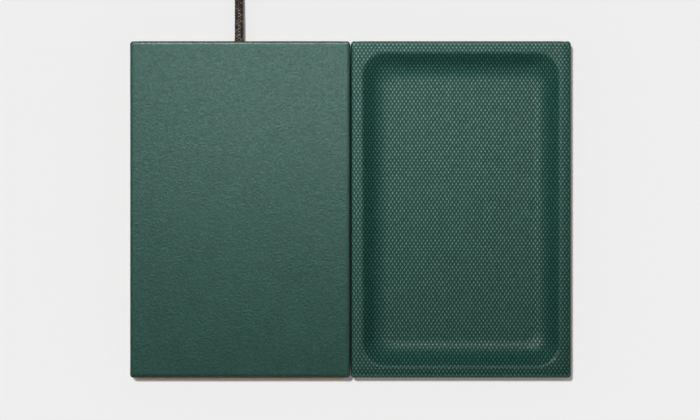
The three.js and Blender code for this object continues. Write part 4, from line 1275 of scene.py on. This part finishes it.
class CHARGINGTRAY_OT_embossed_liner(bpy.types.Operator):
    """Embossed leather in one sheet over the tray module's rim, dish and sides"""

    bl_idname = "chargingtray.embossed_liner"
    bl_label = "Embossed liner"

    def execute(self, context):
        look = settings("leather")
        half = (LINER_HIGH - LINER_LOW)[:2] / 2 - look.corner_radius
        cells_across = 2 * CELLS_PER_DIAMOND * half
        columns, rows = (int(round(across / size)) for across, size in zip(
            cells_across, (look.diamond_width, look.diamond_length)))
        width, length = cells_across / [columns, rows]
        insets, drops = dish_wall()
        crown_start = half + look.corner_radius - look.rim_width
        crown_width = look.rim_width - look.edge_radius

        def sink(x, y):
            """The dish's depth, and on the rim a fall that grows with the square of the way out."""
            over_x = np.maximum(np.abs(x) - crown_start[0], 0) / crown_width
            over_y = np.maximum(np.abs(y) - crown_start[1], 0) / crown_width
            dish = np.interp(dish_inset(x, y, half, insets[-1]), insets, drops)
            return dish + look.rim_crown * (over_x ** 2 + over_y ** 2)

        def relief(x, y):
            """Diamonds that start at the grid's first corner."""
            return diamonds(x + half[0], y + half[1], width, length, look.diamond_depth)

        def crest(x, y):
            """A bell round the lip's rounding."""
            return np.exp(-((dish_inset(x, y, half, insets[-1]) - CREST_INSET) / CREST_INSET) ** 2)

        under_rim = LINER_HIGH[2] - look.thickness
        lining = [(0.0, under_rim), (LINING_RIM, under_rim), (LINING_FLOOR, DISH_FLOOR - look.thickness)]
        points, faces, attributes = wrapped_sheet(
            LINER_LOW, LINER_HIGH, columns, rows, sink, relief, crest, lining)
        make_piece("embossed_liner", points, faces, TRAY, "leather_embossed", ("tray_leather_liner",),
                   attributes)
        return {"FINISHED"}


class CHARGINGTRAY_OT_inner_parts(bpy.types.Operator):
    """Finishes of every node that keeps its own shape"""

    bl_idname = "chargingtray.inner_parts"
    bl_label = "Inner parts"

    def execute(self, context):
        for part in frame["record"]["subparts"]:
            node = frame["nodes"][part["node"]]
            node.data.materials.clear()
            node.data.materials.append(slot_material(part["material_slot"]))
        return {"FINISHED"}


STEPS = (
    CHARGINGTRAY_OT_stage,
    CHARGINGTRAY_OT_plug,
    CHARGINGTRAY_OT_cord_strap,
    CHARGINGTRAY_OT_cord,
    CHARGINGTRAY_OT_grommet,
    CHARGINGTRAY_OT_leather_cover,
    CHARGINGTRAY_OT_embossed_liner,
    CHARGINGTRAY_OT_base_boards,
    CHARGINGTRAY_OT_foam_sheet,
    CHARGINGTRAY_OT_inner_parts,
)
GROUPS = {"leather": LeatherSettings, "cord": CordSettings, "stage": StageSettings}


class CHARGINGTRAY_PT_panel(bpy.types.Panel):
    """Settings and steps of the charging tray"""

    bl_idname = "CHARGINGTRAY_PT_panel"
    bl_label = "Charging Tray"
    bl_space_type = "VIEW_3D"
    bl_region_type = "UI"
    bl_category = "Charging Tray"

    def draw(self, context):
        for kind, group in GROUPS.items():
            box = self.layout.box()
            for key in group.__annotations__:
                box.prop(settings(kind), key)
        for step in STEPS:
            self.layout.operator(step.bl_idname)


CLASSES = (*GROUPS.values(), *STEPS, CHARGINGTRAY_PT_panel)


def register():
    for cls in CLASSES:
        bpy.utils.register_class(cls)
    for kind, group in GROUPS.items():
        setattr(bpy.types.Scene, "charging_tray_" + kind, bpy.props.PointerProperty(type=group))


def unregister():
    for kind in GROUPS:
        delattr(bpy.types.Scene, "charging_tray_" + kind)
    for cls in reversed(CLASSES):
        bpy.utils.unregister_class(cls)


def main():
    register()
    for step in STEPS:
        group, name = step.bl_idname.split(".")
        getattr(getattr(bpy.ops, group), name)()


if __name__ == "__main__":
    main()
